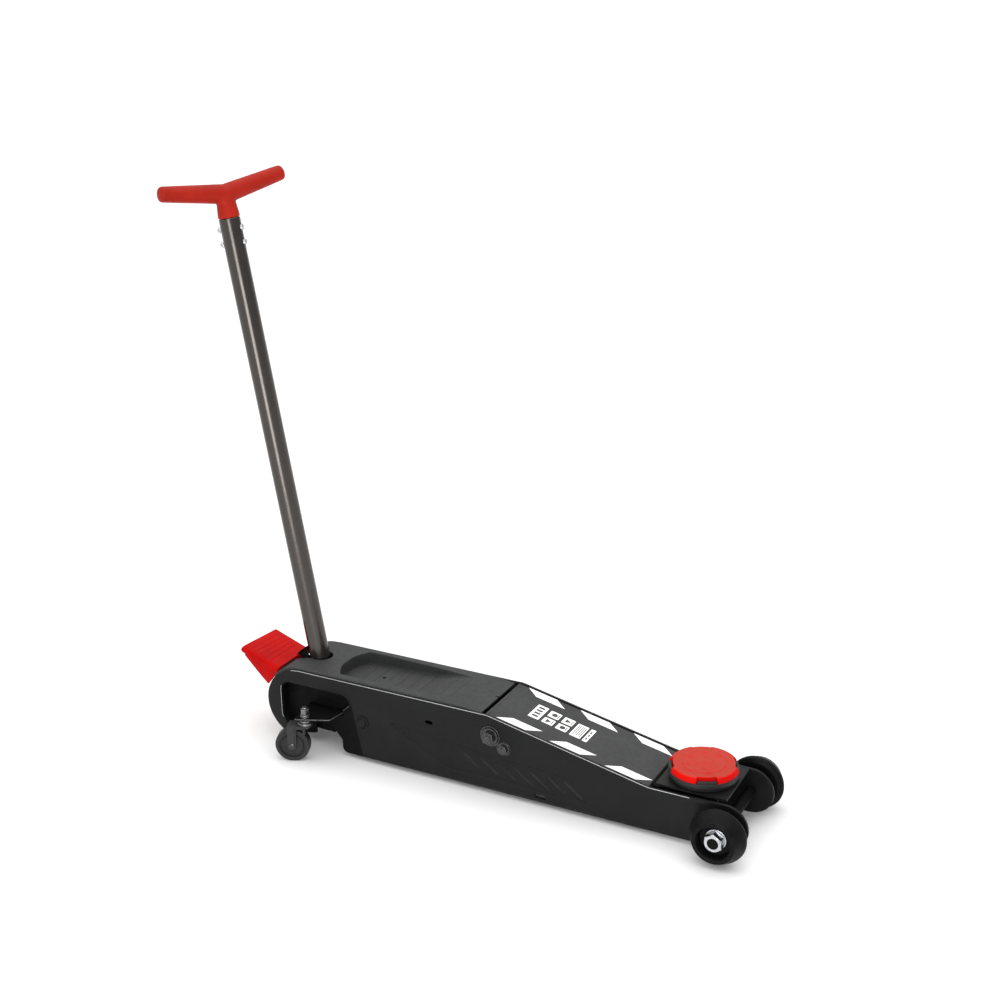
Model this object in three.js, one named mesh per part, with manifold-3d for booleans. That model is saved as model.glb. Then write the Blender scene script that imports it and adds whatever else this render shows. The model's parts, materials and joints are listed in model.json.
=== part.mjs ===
// Long trolley jack with a hand pump, a foot pedal and a swivelling saddle, resting fully lowered.
// Millimetres, +X towards the front wheels, +Z up, the floor at z = 0 and the plane of symmetry at y = 0.
// Inside this file x is counted from the front axle; the finished group is moved so that the origin
// lies on the floor under the middle of the whole jack.

import * as THREE from 'three';
import { mergeVertices } from 'three/addons/utils/BufferGeometryUtils.js';
import Module from 'manifold-3d';

const wasm = await Module();
wasm.setup();

// ---- driving dimensions ----
const AXLE_FROM_ORIGIN = 408.01;    // front axle ahead of the origin
const GAP = 0.3;                     // clearance between touching pieces

// side plates
const PLATE_OUTER = 59;              // outer face, from the plane of symmetry
const PLATE_T = 4;
const PLATE_TOP = 128;
const PLATE_BOTTOM = 7.5;
const KNEE_X = -360;                 // where the top edge starts to slope down
const BEND_X = -110;                 // where the slope meets the low front
const FRONT_TOP = 75;
const NOSE_Z = 41;
const REAR_X = -690;                 // centre of the rounded rear end
const REAR_Z = 70;
const REAR_R = 57.5;
const LOWER_SLOT = { x: -275, z: 18, length: 19, width: 7 };
const UPPER_SLOT = { x: -457, z: 94, length: 13, width: 6 };
const PIVOT_SHAFT_R = 10;
const LINK_BOLT_R = 6;
const MOUNT_BOLT = [-575, 66];       // holds the cylinder between the plates
const MOUNT_BOLT_R = 5;

// wheels
const WHEEL_R = 40.5;
const WHEEL_IN = 73;
const WHEEL_OUT = 102;
const AXLE_R = 8;
const CASTER_R = 26.5;
const CASTER_X = -656.2;             // swivel axis
const CASTER_Y = 90.2;
const CASTER_TRAIL = 20.9;
const CASTER_SWIVEL = 22.5;           // degrees that each caster has trailed outwards, at rest
const CASTER_HALF = 7.5;
const CASTER_AXLE_R = 3;
const STEM_R = 4.5;
const FORK_TOP = 60;
const SHELF_Z = 68.8;
const SHELF_T = 3.2;

// lifting linkage, a parallelogram seen from the side
const PIVOT = [-355, 96];
const HEAD_PIN = [-62, 58];
const LINK_SHIFT = [22, -15];        // tie rod pins from the arm pins
const ARM_IN = 37;
const ARM_T = 5;
const LINK_IN = 46;
const LINK_T = 4;
const CRANK_R = 45;                  // push pin from the arm pivot
const CRANK_BACK = 35;               // degrees behind straight down, at rest
const HEAD_PIN_R = 8;
const PUSH_PIN_R = 8;
const HEAD_SLACK = 0.6;              // the tie rod pin is loose in the head

// handle
const HANDLE_PIVOT = [-682, 105];
const HANDLE_LEAN = 9.74;            // degrees to the rear, at rest
const TUBE_R = 15.6;
const TUBE_WALL = 2;
const TUBE_END = 707;                // tube top, from the handle pivot
const GRIP_AT = 741.5;               // where the grip arms meet, from the handle pivot
const GRIP_TURN = 24;                // degrees that the grip is turned about the tube, at rest
const GRIP_HALF = 100;
const GRIP_RISE = 16;
const YOKE_PIN_R = 6;
const SCREWS_AT = [692, 670.5];      // grip screws, from the handle pivot
const SCREW_R = 2.5;
const SCREW_TURN = 37;               // degrees from the grip's fore and aft line to the screws

// saddle
const SADDLE_X = -51.3;
const CUP_R = 49.5;
const PAD_R = 45.5;
const PAD_TOP = 100.5;
const SEAT_Z = 82;                   // floor of the cup
const STEM_BORE_R = 15;
const HEAD_TOP = 78;
const CUP_FLARE = 84;                // the cup widens up to here
const CUP_TOP = 91.5;
const SKIRT_R = 49;                  // the pad's skirt covers the rim of the cup
const TABS = 4;
const TAB_START = 25.5;              // degrees from straight ahead to the first tab
const TAB_WIDTH = 28;
const TAB_TOP = 95.5;

const rad = (degrees) => degrees * Math.PI / 180;

// ---- solids ----
function solid(geometry) {
  geometry.deleteAttribute('normal');
  geometry.deleteAttribute('uv');
  const merged = mergeVertices(geometry, 1e-4);
  return new wasm.Manifold(new wasm.Mesh({
    numProp: 3,
    vertProperties: new Float32Array(merged.attributes.position.array),
    triVerts: new Uint32Array(merged.index.array),
  }));
}

function box(x0, x1, y0, y1, z0, z1) {
  const geometry = new THREE.BoxGeometry(x1 - x0, y1 - y0, z1 - z0);
  geometry.translate((x0 + x1) / 2, (y0 + y1) / 2, (z0 + z1) / 2);
  return solid(geometry);
}

// A round bar along an axis, with its end faces at a and b on that axis.
function bar(axis, u, v, a, b, r, r2 = r, segments = 16) {
  const geometry = new THREE.CylinderGeometry(r2, r, b - a, segments);
  geometry.translate(0, (a + b) / 2, 0);
  if (axis === 'y') {
    geometry.rotateY(Math.PI / 2);
    geometry.translate(u, 0, v);
  } else if (axis === 'z') {
    geometry.rotateX(Math.PI / 2);
    geometry.translate(u, v, 0);
  } else {
    geometry.rotateZ(-Math.PI / 2);
    geometry.translate(0, u, v);
  }
  return solid(geometry);
}

// A flat plate: an outline in the XZ plane, from y0 to y1.
function plateXZ(outline, y0, y1, segments = 10) {
  const shape = outline instanceof THREE.Shape
    ? outline
    : new THREE.Shape(outline.map(([x, z]) => new THREE.Vector2(x, z)));
  const options = { depth: y1 - y0, bevelEnabled: false, curveSegments: segments };
  const geometry = new THREE.ExtrudeGeometry(shape, options);
  geometry.rotateX(Math.PI / 2);
  geometry.translate(0, y1, 0);
  return solid(geometry);
}

// A flat plate: an outline in the XY plane, from z0 to z1.
function plateXY(outline, z0, z1, segments = 10) {
  const shape = outline instanceof THREE.Shape
    ? outline
    : new THREE.Shape(outline.map(([x, y]) => new THREE.Vector2(x, y)));
  const options = { depth: z1 - z0, bevelEnabled: false, curveSegments: segments };
  const geometry = new THREE.ExtrudeGeometry(shape, options);
  geometry.translate(0, 0, z0);
  return solid(geometry);
}

// A turned solid about the local Z axis; the profile lists [radius, height].
function turned(profile, segments = 32) {
  const geometry = new THREE.LatheGeometry(profile.map(([r, h]) => new THREE.Vector2(r, h)), segments);
  geometry.rotateX(Math.PI / 2);
  const body = solid(geometry);
  return body.volume() > 0 ? body : solid(flipped(geometry));
}

function flipped(geometry) {
  const index = geometry.index.array;
  for (let i = 0; i < index.length; i += 3) {
    [index[i], index[i + 1]] = [index[i + 1], index[i]];
  }
  return geometry;
}

function hexNut(y0, y1, x, z, flats, boreR) {
  const nut = bar('y', x, z, y0, y1, flats / Math.sqrt(3), flats / Math.sqrt(3), 6);
  return boreR ? nut.subtract(bar('y', x, z, y0 - 1, y1 + 1, boreR)) : nut;
}

function placed(body, { move = [0, 0, 0], turn = [0, 0, 0] }) {
  return body.rotate(turn).translate(move);
}

// A piece of the left side, mirrored for the right side.
const mirrored = (body, side) => (side > 0 ? body : body.mirror([0, 1, 0]));

// ---- meshes ----
const finishes = {
  body_black: { color: 0x202122, roughness: 0.42, metalness: 0.5 },
  cover_grey: { color: 0x38393b, roughness: 0.6, metalness: 0.1 },
  inner_steel: { color: 0x2b2c2e, roughness: 0.55, metalness: 0.6 },
  zinc: { color: 0xc3c5c8, roughness: 0.3, metalness: 1.0 },
  tube_grey: { color: 0x4b4a49, roughness: 0.35, metalness: 0.8 },
  grip_red: { color: 0xc8261a, roughness: 0.55, metalness: 0.0 },
  pedal_red: { color: 0xc01108, roughness: 0.35, metalness: 0.1 },
  pad_red: { color: 0xb93028, roughness: 0.7, metalness: 0.0 },
  wheel_black: { color: 0x1c1c1d, roughness: 0.5, metalness: 0.0 },
  chrome: { color: 0xd9dadc, roughness: 0.12, metalness: 1.0 },
};

const jack = new THREE.Group();
jack.position.x = AXLE_FROM_ORIGIN;

function add(name, body, finish, parent = jack) {
  const { vertProperties, triVerts, numProp } = body.getMesh();
  if (numProp !== 3) {
    throw new Error(`${name} carries extra vertex properties`);
  }
  const geometry = new THREE.BufferGeometry();
  geometry.setAttribute('position', new THREE.BufferAttribute(new Float32Array(vertProperties), 3));
  geometry.setIndex(new THREE.BufferAttribute(new Uint32Array(triVerts), 1));
  geometry.computeVertexNormals();
  const mesh = new THREE.Mesh(geometry, new THREE.MeshStandardMaterial(finishes[finish]));
  mesh.name = name;
  parent.add(mesh);
}

const SIDES = [['left', 1], ['right', -1]];
const linkPin = ([x, z]) => [x + LINK_SHIFT[0], z + LINK_SHIFT[1]];
const crankPin = [
  PIVOT[0] - CRANK_R * Math.sin(rad(CRANK_BACK)),
  PIVOT[1] - CRANK_R * Math.cos(rad(CRANK_BACK)),
];

// ---- side plates ----
function flankOutline() {
  const shape = new THREE.Shape();
  shape.moveTo(REAR_X, PLATE_TOP);
  shape.lineTo(KNEE_X, PLATE_TOP);
  shape.lineTo(BEND_X, FRONT_TOP);
  shape.lineTo(0, FRONT_TOP);
  shape.absarc(0, NOSE_Z, FRONT_TOP - NOSE_Z, Math.PI / 2, -Math.PI / 2, true);
  shape.lineTo(0, PLATE_BOTTOM);
  shape.lineTo(-604, PLATE_BOTTOM);
  shape.absarc(-604, PLATE_BOTTOM + 9, 9, -Math.PI / 2, -Math.PI, true);
  shape.lineTo(-613, 27);
  shape.lineTo(-636, 54);
  shape.lineTo(-636, SHELF_Z - GAP);
  shape.lineTo(-609, SHELF_Z - GAP);
  shape.lineTo(-609, 78);
  shape.lineTo(-596, 90);                     // the recess over the caster starts here
  shape.quadraticCurveTo(-596, 103, -620, 105);
  shape.lineTo(-706, 107);
  shape.quadraticCurveTo(-722, 107, -722, 92);
  shape.lineTo(-722, 50);
  shape.quadraticCurveTo(-722, 38, -708, 28);
  shape.lineTo(-702, 14);
  shape.absarc(REAR_X, REAR_Z, REAR_R, rad(-102), rad(-270), true);
  return shape;
}

function sidePlate() {
  const holes = [
    [PIVOT, PIVOT_SHAFT_R + GAP],
    [linkPin(PIVOT), LINK_BOLT_R + GAP],
    [[0, WHEEL_R], AXLE_R + GAP],
    [MOUNT_BOLT, MOUNT_BOLT_R + GAP],
  ];
  let plate = plateXZ(flankOutline(), PLATE_OUTER - PLATE_T, PLATE_OUTER, 9);
  for (const [[x, z], r] of holes) {
    plate = plate.subtract(bar('y', x, z, 50, 64, r));
  }
  return plate.subtract(roundSlot(LOWER_SLOT)).subtract(roundSlot(UPPER_SLOT));
}

function roundSlot({ x, z, length, width }) {
  const r = width / 2;
  const run = length / 2 - r;
  return box(x - run, x + run, 50, 64, z - r, z + r)
    .add(bar('y', x - run, z, 50, 64, r, r, 8))
    .add(bar('y', x + run, z, 50, 64, r, r, 8));
}

// ---- rear frame: recess wall and caster shelf in one pressed piece ----
const RECESS_IN = 41;
const RECESS_T = 3;

function casterBracket() {
  const outline = new THREE.Shape();
  outline.moveTo(-742, 92);
  outline.lineTo(-722, 116);
  outline.lineTo(-640, 116);
  outline.lineTo(-630, 107);
  outline.lineTo(-591, 107);
  outline.lineTo(-591, 74);
  outline.lineTo(-604, 60);
  outline.lineTo(-641, 45);
  outline.lineTo(-668.5, 38);
  outline.absarc(REAR_X, REAR_Z, 54, rad(-70), rad(-157), true);
  const shelf = new THREE.Shape();
  shelf.moveTo(-678, RECESS_IN + 1);
  shelf.lineTo(-672, 101);
  shelf.quadraticCurveTo(-670, 107, -662, 103.3);
  shelf.lineTo(-621, 84.7);
  shelf.quadraticCurveTo(-617.2, 83, -616.7, 79);
  shelf.lineTo(-612, RECESS_IN + 1);
  return plateXZ(outline, RECESS_IN, RECESS_IN + RECESS_T, 9)
    .add(plateXY(shelf, SHELF_Z, SHELF_Z + SHELF_T, 9))
    .subtract(bar('z', CASTER_X, CASTER_Y, 50, 80, STEM_R + GAP))
    .subtract(bar('y', ...HANDLE_PIVOT, 30, 50, YOKE_PIN_R + GAP))
    .subtract(bar('y', ...PEDAL_PIN, 30, 50, PEDAL_PIN_R + GAP));
}

// ---- rear cover with its dome, handle slot and tool tray ----
const COVER_TOP = 131;
const COVER_HALF = 54.5;
const COVER_T = 3;
const COVER_FRONT = -371.5;
const TRAY = { rear: -625, front: -408, half: 43, deep: 18, wall: 2.5 };
const SLOT_HALF = 17;
const SLOT_FRONT = -665;

const SKIRT_BOTTOM = 112;
const SKIRT_FRONT = -393;            // the skirts stop here, clear of the arm cover as it swings up

// Side view of the cover; with an inset it is the hollow under it, open at the bottom and the front.
function coverProfile(inset) {
  const past = inset ? 5 : 0;
  const shape = new THREE.Shape();
  if (inset) {
    shape.moveTo(COVER_FRONT + past, SKIRT_BOTTOM - past);
  } else {
    shape.moveTo(SKIRT_FRONT, SKIRT_BOTTOM);
    shape.lineTo(COVER_FRONT, PLATE_TOP - COVER_T + 0.5);
  }
  shape.lineTo(COVER_FRONT + past, PLATE_TOP - inset);
  shape.lineTo(-400, COVER_TOP - inset);
  shape.lineTo(REAR_X, COVER_TOP - inset);
  shape.absarc(REAR_X, REAR_Z, COVER_TOP - REAR_Z - inset, Math.PI / 2, rad(140), false);
  shape.lineTo(-716, SKIRT_BOTTOM - past);
  return shape;
}

function trayWedge(grow) {
  const { rear, front, half, deep } = TRAY;
  const outline = [
    [rear - grow, COVER_TOP + (grow ? -0.5 : 2)],
    [front + grow, COVER_TOP + (grow ? -0.5 : 2)],
    [front + grow, COVER_TOP - grow - 1],
    [rear + 10, COVER_TOP - deep - grow],
    [rear - grow, COVER_TOP - deep + 4 - grow],
  ];
  return plateXZ(outline, -half - grow, half + grow);
}

function rearCover() {
  const shell = plateXZ(coverProfile(0), -COVER_HALF, COVER_HALF, 10)
    .subtract(plateXZ(coverProfile(COVER_T), -COVER_HALF + COVER_T, COVER_HALF - COVER_T, 10));
  const slot = box(-780, SLOT_FRONT - SLOT_HALF, -SLOT_HALF, SLOT_HALF, 60, 150)
    .add(bar('z', SLOT_FRONT - SLOT_HALF, 0, 60, 150, SLOT_HALF));
  return shell.add(trayWedge(TRAY.wall)).subtract(trayWedge(0)).subtract(slot);
}

// ---- hydraulics ----
const RAM_Z = 57;
const CYLINDER = { rear: -640, front: -450, r: 29 };
const RAM_R = 11;
const RAM_FACE = crankPin[0] - PUSH_PIN_R - 0.8;
const PEDAL_PIN = [-733, 84];
const PEDAL_PIN_R = 4;
const PUMP = { x: -713, r: 5, top: 114 };
const FOOT_PUMP = { y: -24, z: 50, r: 5, end: -737.3 };
const VALVE = { x: -677, r: 5 };

function cylinder() {
  return bar('x', 0, RAM_Z, CYLINDER.rear, CYLINDER.front, CYLINDER.r, CYLINDER.r, 28)
    .add(box(-590, -562, -54.7, 54.7, 48, 84))
    .subtract(bar('x', 0, RAM_Z, CYLINDER.rear + 12, CYLINDER.front + 1, RAM_R + 4))
    .subtract(bar('y', ...MOUNT_BOLT, -60, 60, MOUNT_BOLT_R + GAP));
}

function pumpBlock() {
  return box(-724, CYLINDER.rear - GAP, -36, 36, 24, 64)
    .add(box(-723.5, -703.5, -12, 12, 60, 84))
    .subtract(bar('z', PUMP.x, 0, 36, 90, PUMP.r + GAP))
    .subtract(bar('x', FOOT_PUMP.y, FOOT_PUMP.z, -730, -684, FOOT_PUMP.r + GAP))
    .subtract(bar('z', VALVE.x, 0, 44, 70, VALVE.r + GAP));
}

function addHydraulics() {
  add('hydraulic_cylinder', cylinder(), 'inner_steel');
  add('pump_block', pumpBlock(), 'inner_steel');
  add('ram_rod', bar('x', 0, RAM_Z, CYLINDER.rear + 40, RAM_FACE - 12 - GAP, RAM_R), 'chrome');
  add('ram_head', bar('x', 0, RAM_Z, RAM_FACE - 12, RAM_FACE, 17, 17, 24), 'zinc');
  add('pump_plunger', bar('z', PUMP.x, 0, 68, PUMP.top, PUMP.r), 'chrome');
  const { y, z, r, end } = FOOT_PUMP;
  const footPlunger = bar('x', y, z, end + 2.5, end + 38, r).add(bar('x', y, z, end, end + 2.6, 3, r));
  add('foot_pump_plunger', footPlunger, 'chrome');
  const valve = bar('z', VALVE.x, 0, 46, 70, VALVE.r).add(bar('z', VALVE.x, 0, 64.5, 73, 9, 9, 6));
  add('release_valve', valve, 'zinc');
}

// ---- axle, wheels and casters ----
function addFrontAxle() {
  add('front_axle', bar('y', 0, WHEEL_R, -103, 103, AXLE_R, AXLE_R, 24), 'body_black');
  for (const [name, side] of SIDES) {
    const nut = hexNut(89.3, 101.5, 0, WHEEL_R, 24, AXLE_R + GAP);
    const washer = bar('y', 0, WHEEL_R, 86.3, 89, 15)
      .subtract(bar('y', 0, WHEEL_R, 80, 95, AXLE_R + GAP));
    add(`axle_nut_${name}`, mirrored(nut, side), 'zinc');
    add(`axle_washer_${name}`, mirrored(washer, side), 'zinc');
    add(`front_wheel_${name}`, mirrored(frontWheel(), side), 'wheel_black');
  }
}

function frontWheel() {
  const bore = AXLE_R + GAP;
  const dish = 22.8;
  const profile = [
    [bore, PLATE_OUTER + GAP],
    [13, PLATE_OUTER + GAP],
    [13, WHEEL_IN],
    [WHEEL_R - 6.5, WHEEL_IN],
    [WHEEL_R - 1.7, WHEEL_IN + 2.5],
    [WHEEL_R, WHEEL_IN + 6.5],
    [WHEEL_R - 1.4, WHEEL_IN + 11],    // from here the tread tapers out to the rim
    [WHEEL_R - 4.2, WHEEL_OUT - 12],
    [WHEEL_R - 8.2, WHEEL_OUT - 4],
    [WHEEL_R - 10.3, WHEEL_OUT],
    [dish + 1.8, WHEEL_OUT],
    [dish, 86],
    [bore, 86],
    [bore, PLATE_OUTER + GAP],
  ];
  return placed(turned(profile, 32), { turn: [-90, 0, 0], move: [0, 0, WHEEL_R] });
}

function casterWheel() {
  const bore = CASTER_AXLE_R + GAP;
  const half = CASTER_HALF;
  const profile = [
    [bore, -half],
    [9, -half],
    [10, -half + 2.2],
    [19, -half + 2.2],
    [20, -half],
    [CASTER_R - 1.5, -half],
    [CASTER_R, -half + 1.5],
    [CASTER_R, half - 1.5],
    [CASTER_R - 1.5, half],
    [20, half],
    [19, half - 2.2],
    [10, half - 2.2],
    [9, half],
    [bore, half],
    [bore, -half],
  ];
  return placed(turned(profile, 28), { turn: [-90, 0, 0], move: [-CASTER_TRAIL, 0, CASTER_R] });
}

function casterFork() {
  const x = -CASTER_TRAIL;
  const inner = CASTER_HALF + 1;
  const t = 2.5;
  const leg = new THREE.Shape();
  leg.moveTo(x - 6.5, FORK_TOP);
  leg.lineTo(x - 6.5, CASTER_R);
  leg.absarc(x, CASTER_R, 6.5, Math.PI, 2 * Math.PI, false);
  leg.lineTo(x + 7.5, 34);
  leg.lineTo(x + 8, FORK_TOP - 5);     // between the leg and its folded front the fork is open
  leg.lineTo(x + 17.5, FORK_TOP - 5);
  leg.lineTo(x + 17.5, 44);
  leg.lineTo(x + 22, 47);
  leg.lineTo(x + 23, FORK_TOP);
  const top = new THREE.Shape();
  top.moveTo(x - 6.5, -inner - t);
  top.lineTo(0, -inner - t);
  top.absarc(0, 0, inner + t, -Math.PI / 2, Math.PI / 2, false);
  top.lineTo(x - 6.5, inner + t);
  let fork = plateXY(top, FORK_TOP - t, FORK_TOP, 7);
  for (const y of [inner, -inner - t]) {
    fork = fork.add(plateXZ(leg, y, y + t, 6));
  }
  return fork
    .subtract(bar('z', 0, 0, 50, 70, STEM_R + GAP))
    .subtract(bar('y', x, CASTER_R, -20, 20, CASTER_AXLE_R + GAP));
}

// Everything of a caster stands on its swivel axis.
function addCaster(name, side) {
  const top = SHELF_Z + SHELF_T + GAP;
  const stem = bar('z', 0, 0, FORK_TOP - 5, 89, STEM_R)
    .add(bar('z', 0, 0, top, 77, 7.8))
    .add(bar('z', 0, 0, 77, 86, 6.8, 6.8, 6))
    .add(bar('z', 0, 0, FORK_TOP - 5.2, FORK_TOP - 2.5 - GAP, 6.5));
  const race = bar('z', 0, 0, FORK_TOP + GAP, 64.6, 12)
    .add(bar('z', 0, 0, 64.5, SHELF_Z - GAP, 9.5))
    .subtract(bar('z', 0, 0, 50, 80, STEM_R + GAP));
  const half = CASTER_HALF + 4.3;
  const axle = bar('y', -CASTER_TRAIL, CASTER_R, -half, half, CASTER_AXLE_R)
    .add(bar('y', -CASTER_TRAIL, CASTER_R, CASTER_HALF + 3.8, half + 1.2, 5.5, 4));
  const pieces = [
    ['stem', stem, 'zinc'],
    ['race', race, 'zinc'],
    ['fork', casterFork(), 'inner_steel'],
    ['axle', axle, 'inner_steel'],
    ['wheel', casterWheel(), 'wheel_black'],
  ];
  for (const [piece, body, finish] of pieces) {
    const stood = placed(body, { turn: [0, 0, -CASTER_SWIVEL], move: [CASTER_X, CASTER_Y, 0] });
    add(`caster_${piece}_${name}`, mirrored(stood, side), finish);
  }
}

// ---- lift arm, tie rods and head ----
function armPlate() {
  const [px, pz] = PIVOT;
  const [hx, hz] = HEAD_PIN;
  const [cx, cz] = crankPin;
  const beam = [
    [px - 14, pz + 12], [px + 8, pz + 20], [BEND_X, FRONT_TOP - 5], [hx, hz + 13],
    [hx, hz - 13], [hx - 60, hz - 9], [px + 30, pz - 22],
  ];
  const heel = [
    [px - 17, pz - 6], [px + 17, pz - 12], [px + 8, pz - 34], [cx + 9, cz - 9], [cx - 11, cz + 3],
  ];
  const y = [ARM_IN, ARM_IN + ARM_T];
  return plateXZ(beam, ...y)
    .add(plateXZ(heel, ...y))
    .add(bar('y', px, pz, ...y, 20))
    .add(bar('y', hx, hz, ...y, 14))
    .add(bar('y', cx, cz, ...y, 13))
    .subtract(bar('y', px, pz, 30, 50, PIVOT_SHAFT_R + GAP))
    .subtract(bar('y', hx, hz, 30, 50, HEAD_PIN_R + GAP))
    .subtract(bar('y', cx, cz, 30, 50, PUSH_PIN_R + GAP));
}

function armCover() {
  const slope = (FRONT_TOP - PLATE_TOP) / (BEND_X - KNEE_X);
  const top = (x) => PLATE_TOP + slope * (x - KNEE_X);
  const rear = KNEE_X - 3.5;
  const front = BEND_X - 1;
  const outer = [
    [rear, PLATE_TOP - 0.5],
    [KNEE_X, PLATE_TOP - 0.5],
    [front, top(front) - 0.5],
    [front, top(front) - 12],
    [rear + 18, PLATE_TOP - 22],
    [rear, PLATE_TOP - 3.5],
  ];
  const inner = [
    [rear - 5, PLATE_TOP - 3.5],
    [KNEE_X - 1, PLATE_TOP - 3.5],
    [front + 5, top(front + 5) - 3.5],
    [front + 5, 40],
    [rear - 5, 90],
  ];
  return plateXZ(outer, -54, 54).subtract(plateXZ(inner, -51.5, 51.5));
}

function tieRod() {
  const [ax, az] = linkPin(PIVOT);
  const [bx, bz] = linkPin(HEAD_PIN);
  const y = [LINK_IN, LINK_IN + LINK_T];
  const web = [[ax, az + 9], [bx, bz + 9], [bx, bz - 9], [ax, az - 9]];
  return plateXZ(web, ...y)
    .add(bar('y', ax, az, ...y, 12))
    .add(bar('y', bx, bz, ...y, 11))
    .subtract(bar('y', ax, az, 40, 60, LINK_BOLT_R + GAP))
    .subtract(bar('y', bx, bz, 40, 60, LINK_BOLT_R + GAP));
}

function saddleHead() {
  const [hx, hz] = HEAD_PIN;
  const [tx, tz] = linkPin(HEAD_PIN);
  const ear = [
    [hx - 16, HEAD_TOP - 2],
    [tx + 24, HEAD_TOP - 2],
    [tx + 14, tz - 8],
    [tx - 4, tz - 12],
    [hx - 16, hz - 10],
  ];
  let head = box(BEND_X + 6, -1, -47, 47, HEAD_TOP - 3, HEAD_TOP);
  for (const y of [28, -34]) {
    head = head.add(plateXZ(ear, y, y + 6));
  }
  return head
    .subtract(bar('z', SADDLE_X, 0, 50, 90, STEM_BORE_R + GAP))
    .subtract(bar('y', hx, hz, -60, 60, HEAD_PIN_R + GAP))
    .subtract(bar('y', tx, tz, -60, 60, LINK_BOLT_R + HEAD_SLACK));
}

function addLinkage() {
  for (const [name, side] of SIDES) {
    add(`arm_plate_${name}`, mirrored(armPlate(), side), 'inner_steel');
    add(`tie_rod_${name}`, mirrored(tieRod(), side), 'inner_steel');
  }
  add('arm_cover', armCover(), 'cover_grey');
  add('head_pin', bar('y', ...HEAD_PIN, -44, 44, HEAD_PIN_R), 'zinc');
  add('push_pin', bar('y', ...crankPin, -43.5, 43.5, PUSH_PIN_R), 'zinc');
  add('tie_rod_pin', bar('y', ...linkPin(HEAD_PIN), -51, 51, LINK_BOLT_R), 'zinc');
  add('saddle_head', saddleHead(), 'body_black');
}

// ---- saddle ----
function tab(inner, outer, z0, z1, width, at) {
  const block = box(inner, outer, -width / 2, width / 2, z0, z1);
  return placed(block, { turn: [0, 0, at], move: [SADDLE_X, 0, 0] });
}

function addSaddle() {
  let cup = bar('z', SADDLE_X, 0, HEAD_TOP + GAP, CUP_FLARE, CUP_R - 2.5, CUP_R, 36)
    .add(bar('z', SADDLE_X, 0, CUP_FLARE, CUP_TOP, CUP_R, CUP_R, 36))
    .subtract(bar('z', SADDLE_X, 0, SEAT_Z, 100, PAD_R + 0.8, PAD_R + 0.8, 36))
    .add(bar('z', SADDLE_X, 0, 68, HEAD_TOP + 1, STEM_BORE_R));
  let pad = bar('z', SADDLE_X, 0, SEAT_Z + GAP, PAD_TOP - 1, PAD_R, PAD_R, 36)
    .add(bar('z', SADDLE_X, 0, CUP_TOP + GAP, PAD_TOP, SKIRT_R, PAD_R, 36));
  for (let i = 0; i < TABS; i += 1) {
    const at = TAB_START + i * 360 / TABS;
    cup = cup.add(tab(PAD_R - 1.5, CUP_R - 1.5, CUP_TOP - 5, TAB_TOP, TAB_WIDTH, at));
    pad = pad.subtract(tab(PAD_R - 1.5 - GAP, 60, 80, TAB_TOP + GAP, TAB_WIDTH + 2 * GAP, at));
  }
  add('saddle_cup', cup, 'body_black');
  add('saddle_pad', pad, 'pad_red');
}

// ---- bolts that carry the linkage and the cylinder ----
function addFlankBolts() {
  add('arm_pivot_shaft', bar('y', ...PIVOT, -61.5, 61.5, PIVOT_SHAFT_R, PIVOT_SHAFT_R, 20), 'inner_steel');
  for (const [name, side] of SIDES) {
    const nut = hexNut(62, 70, ...PIVOT, 19, 0).add(bar('y', ...PIVOT, 61.8, 63.5, 15));
    const link = bar('y', ...linkPin(PIVOT), 45.5, 63.5, LINK_BOLT_R)
      .add(hexNut(PLATE_OUTER + GAP + 1.5, 66, ...linkPin(PIVOT), 15, 0))
      .add(bar('y', ...linkPin(PIVOT), PLATE_OUTER + GAP, PLATE_OUTER + 2, 11));
    const dome = bar('y', ...MOUNT_BOLT, 52, 61, MOUNT_BOLT_R)
      .add(bar('y', ...MOUNT_BOLT, PLATE_OUTER + GAP, 64, 12, 6));
    add(`arm_pivot_nut_${name}`, mirrored(nut, side), 'body_black');
    add(`link_bolt_${name}`, mirrored(link, side), 'body_black');
    add(`cylinder_bolt_${name}`, mirrored(dome, side), 'body_black');
  }
}

// ---- foot pedal ----
function pedal() {
  const [px, pz] = PEDAL_PIN;
  const tread = [[-802, 136.5], [-738, 112.8], [-738, 109.3], [-800, 132.3]];
  const flange = [
    [-802, 136.5], [-738, 112.8], [-738.5, 109], [-747, 98], [-754, 90], [-760.7, 81.7],
    [-784, 103.9], [-803, 122], [-804.5, 131.5],
  ];
  const lip = [
    [-744, 115], [-738, 112.8], [-738, 109.3], [-742.3, 101.5], [-745.3, 102.3], [-742, 109.5],
  ];
  const arm = [
    [-747, 114], [-738, 110.5], [-727, 95], [px + 8, pz - 2], [px, pz - 8], [px - 9, pz], [-746, 98],
  ];
  let body = plateXZ(tread, -40, 40).add(plateXZ(lip, -37, 37));
  for (const side of [1, -1]) {
    const flangeY = side > 0 ? 37 : -40;
    const armY = side > 0 ? 33.5 : -36.5;
    body = body.add(plateXZ(flange, flangeY, flangeY + 3));
    body = body.add(plateXZ(arm, armY, armY + 3.6));
  }
  return body
    .add(box(-741, -737.8, FOOT_PUMP.y - 6, FOOT_PUMP.y + 6, FOOT_PUMP.z - 6, 112))
    .subtract(bar('y', px, pz, -60, 60, PEDAL_PIN_R + GAP));
}

function pedalSpring() {
  const [px, pz] = PEDAL_PIN;
  return bar('y', px, pz, 14, 33, 7.5).subtract(bar('y', px, pz, 10, 40, PEDAL_PIN_R + GAP));
}

function addPedal() {
  add('foot_pedal', pedal(), 'pedal_red');
  add('pedal_pin', bar('y', ...PEDAL_PIN, -43.7, 43.7, PEDAL_PIN_R), 'zinc');
  add('pedal_spring', pedalSpring(), 'zinc');
}

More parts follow.
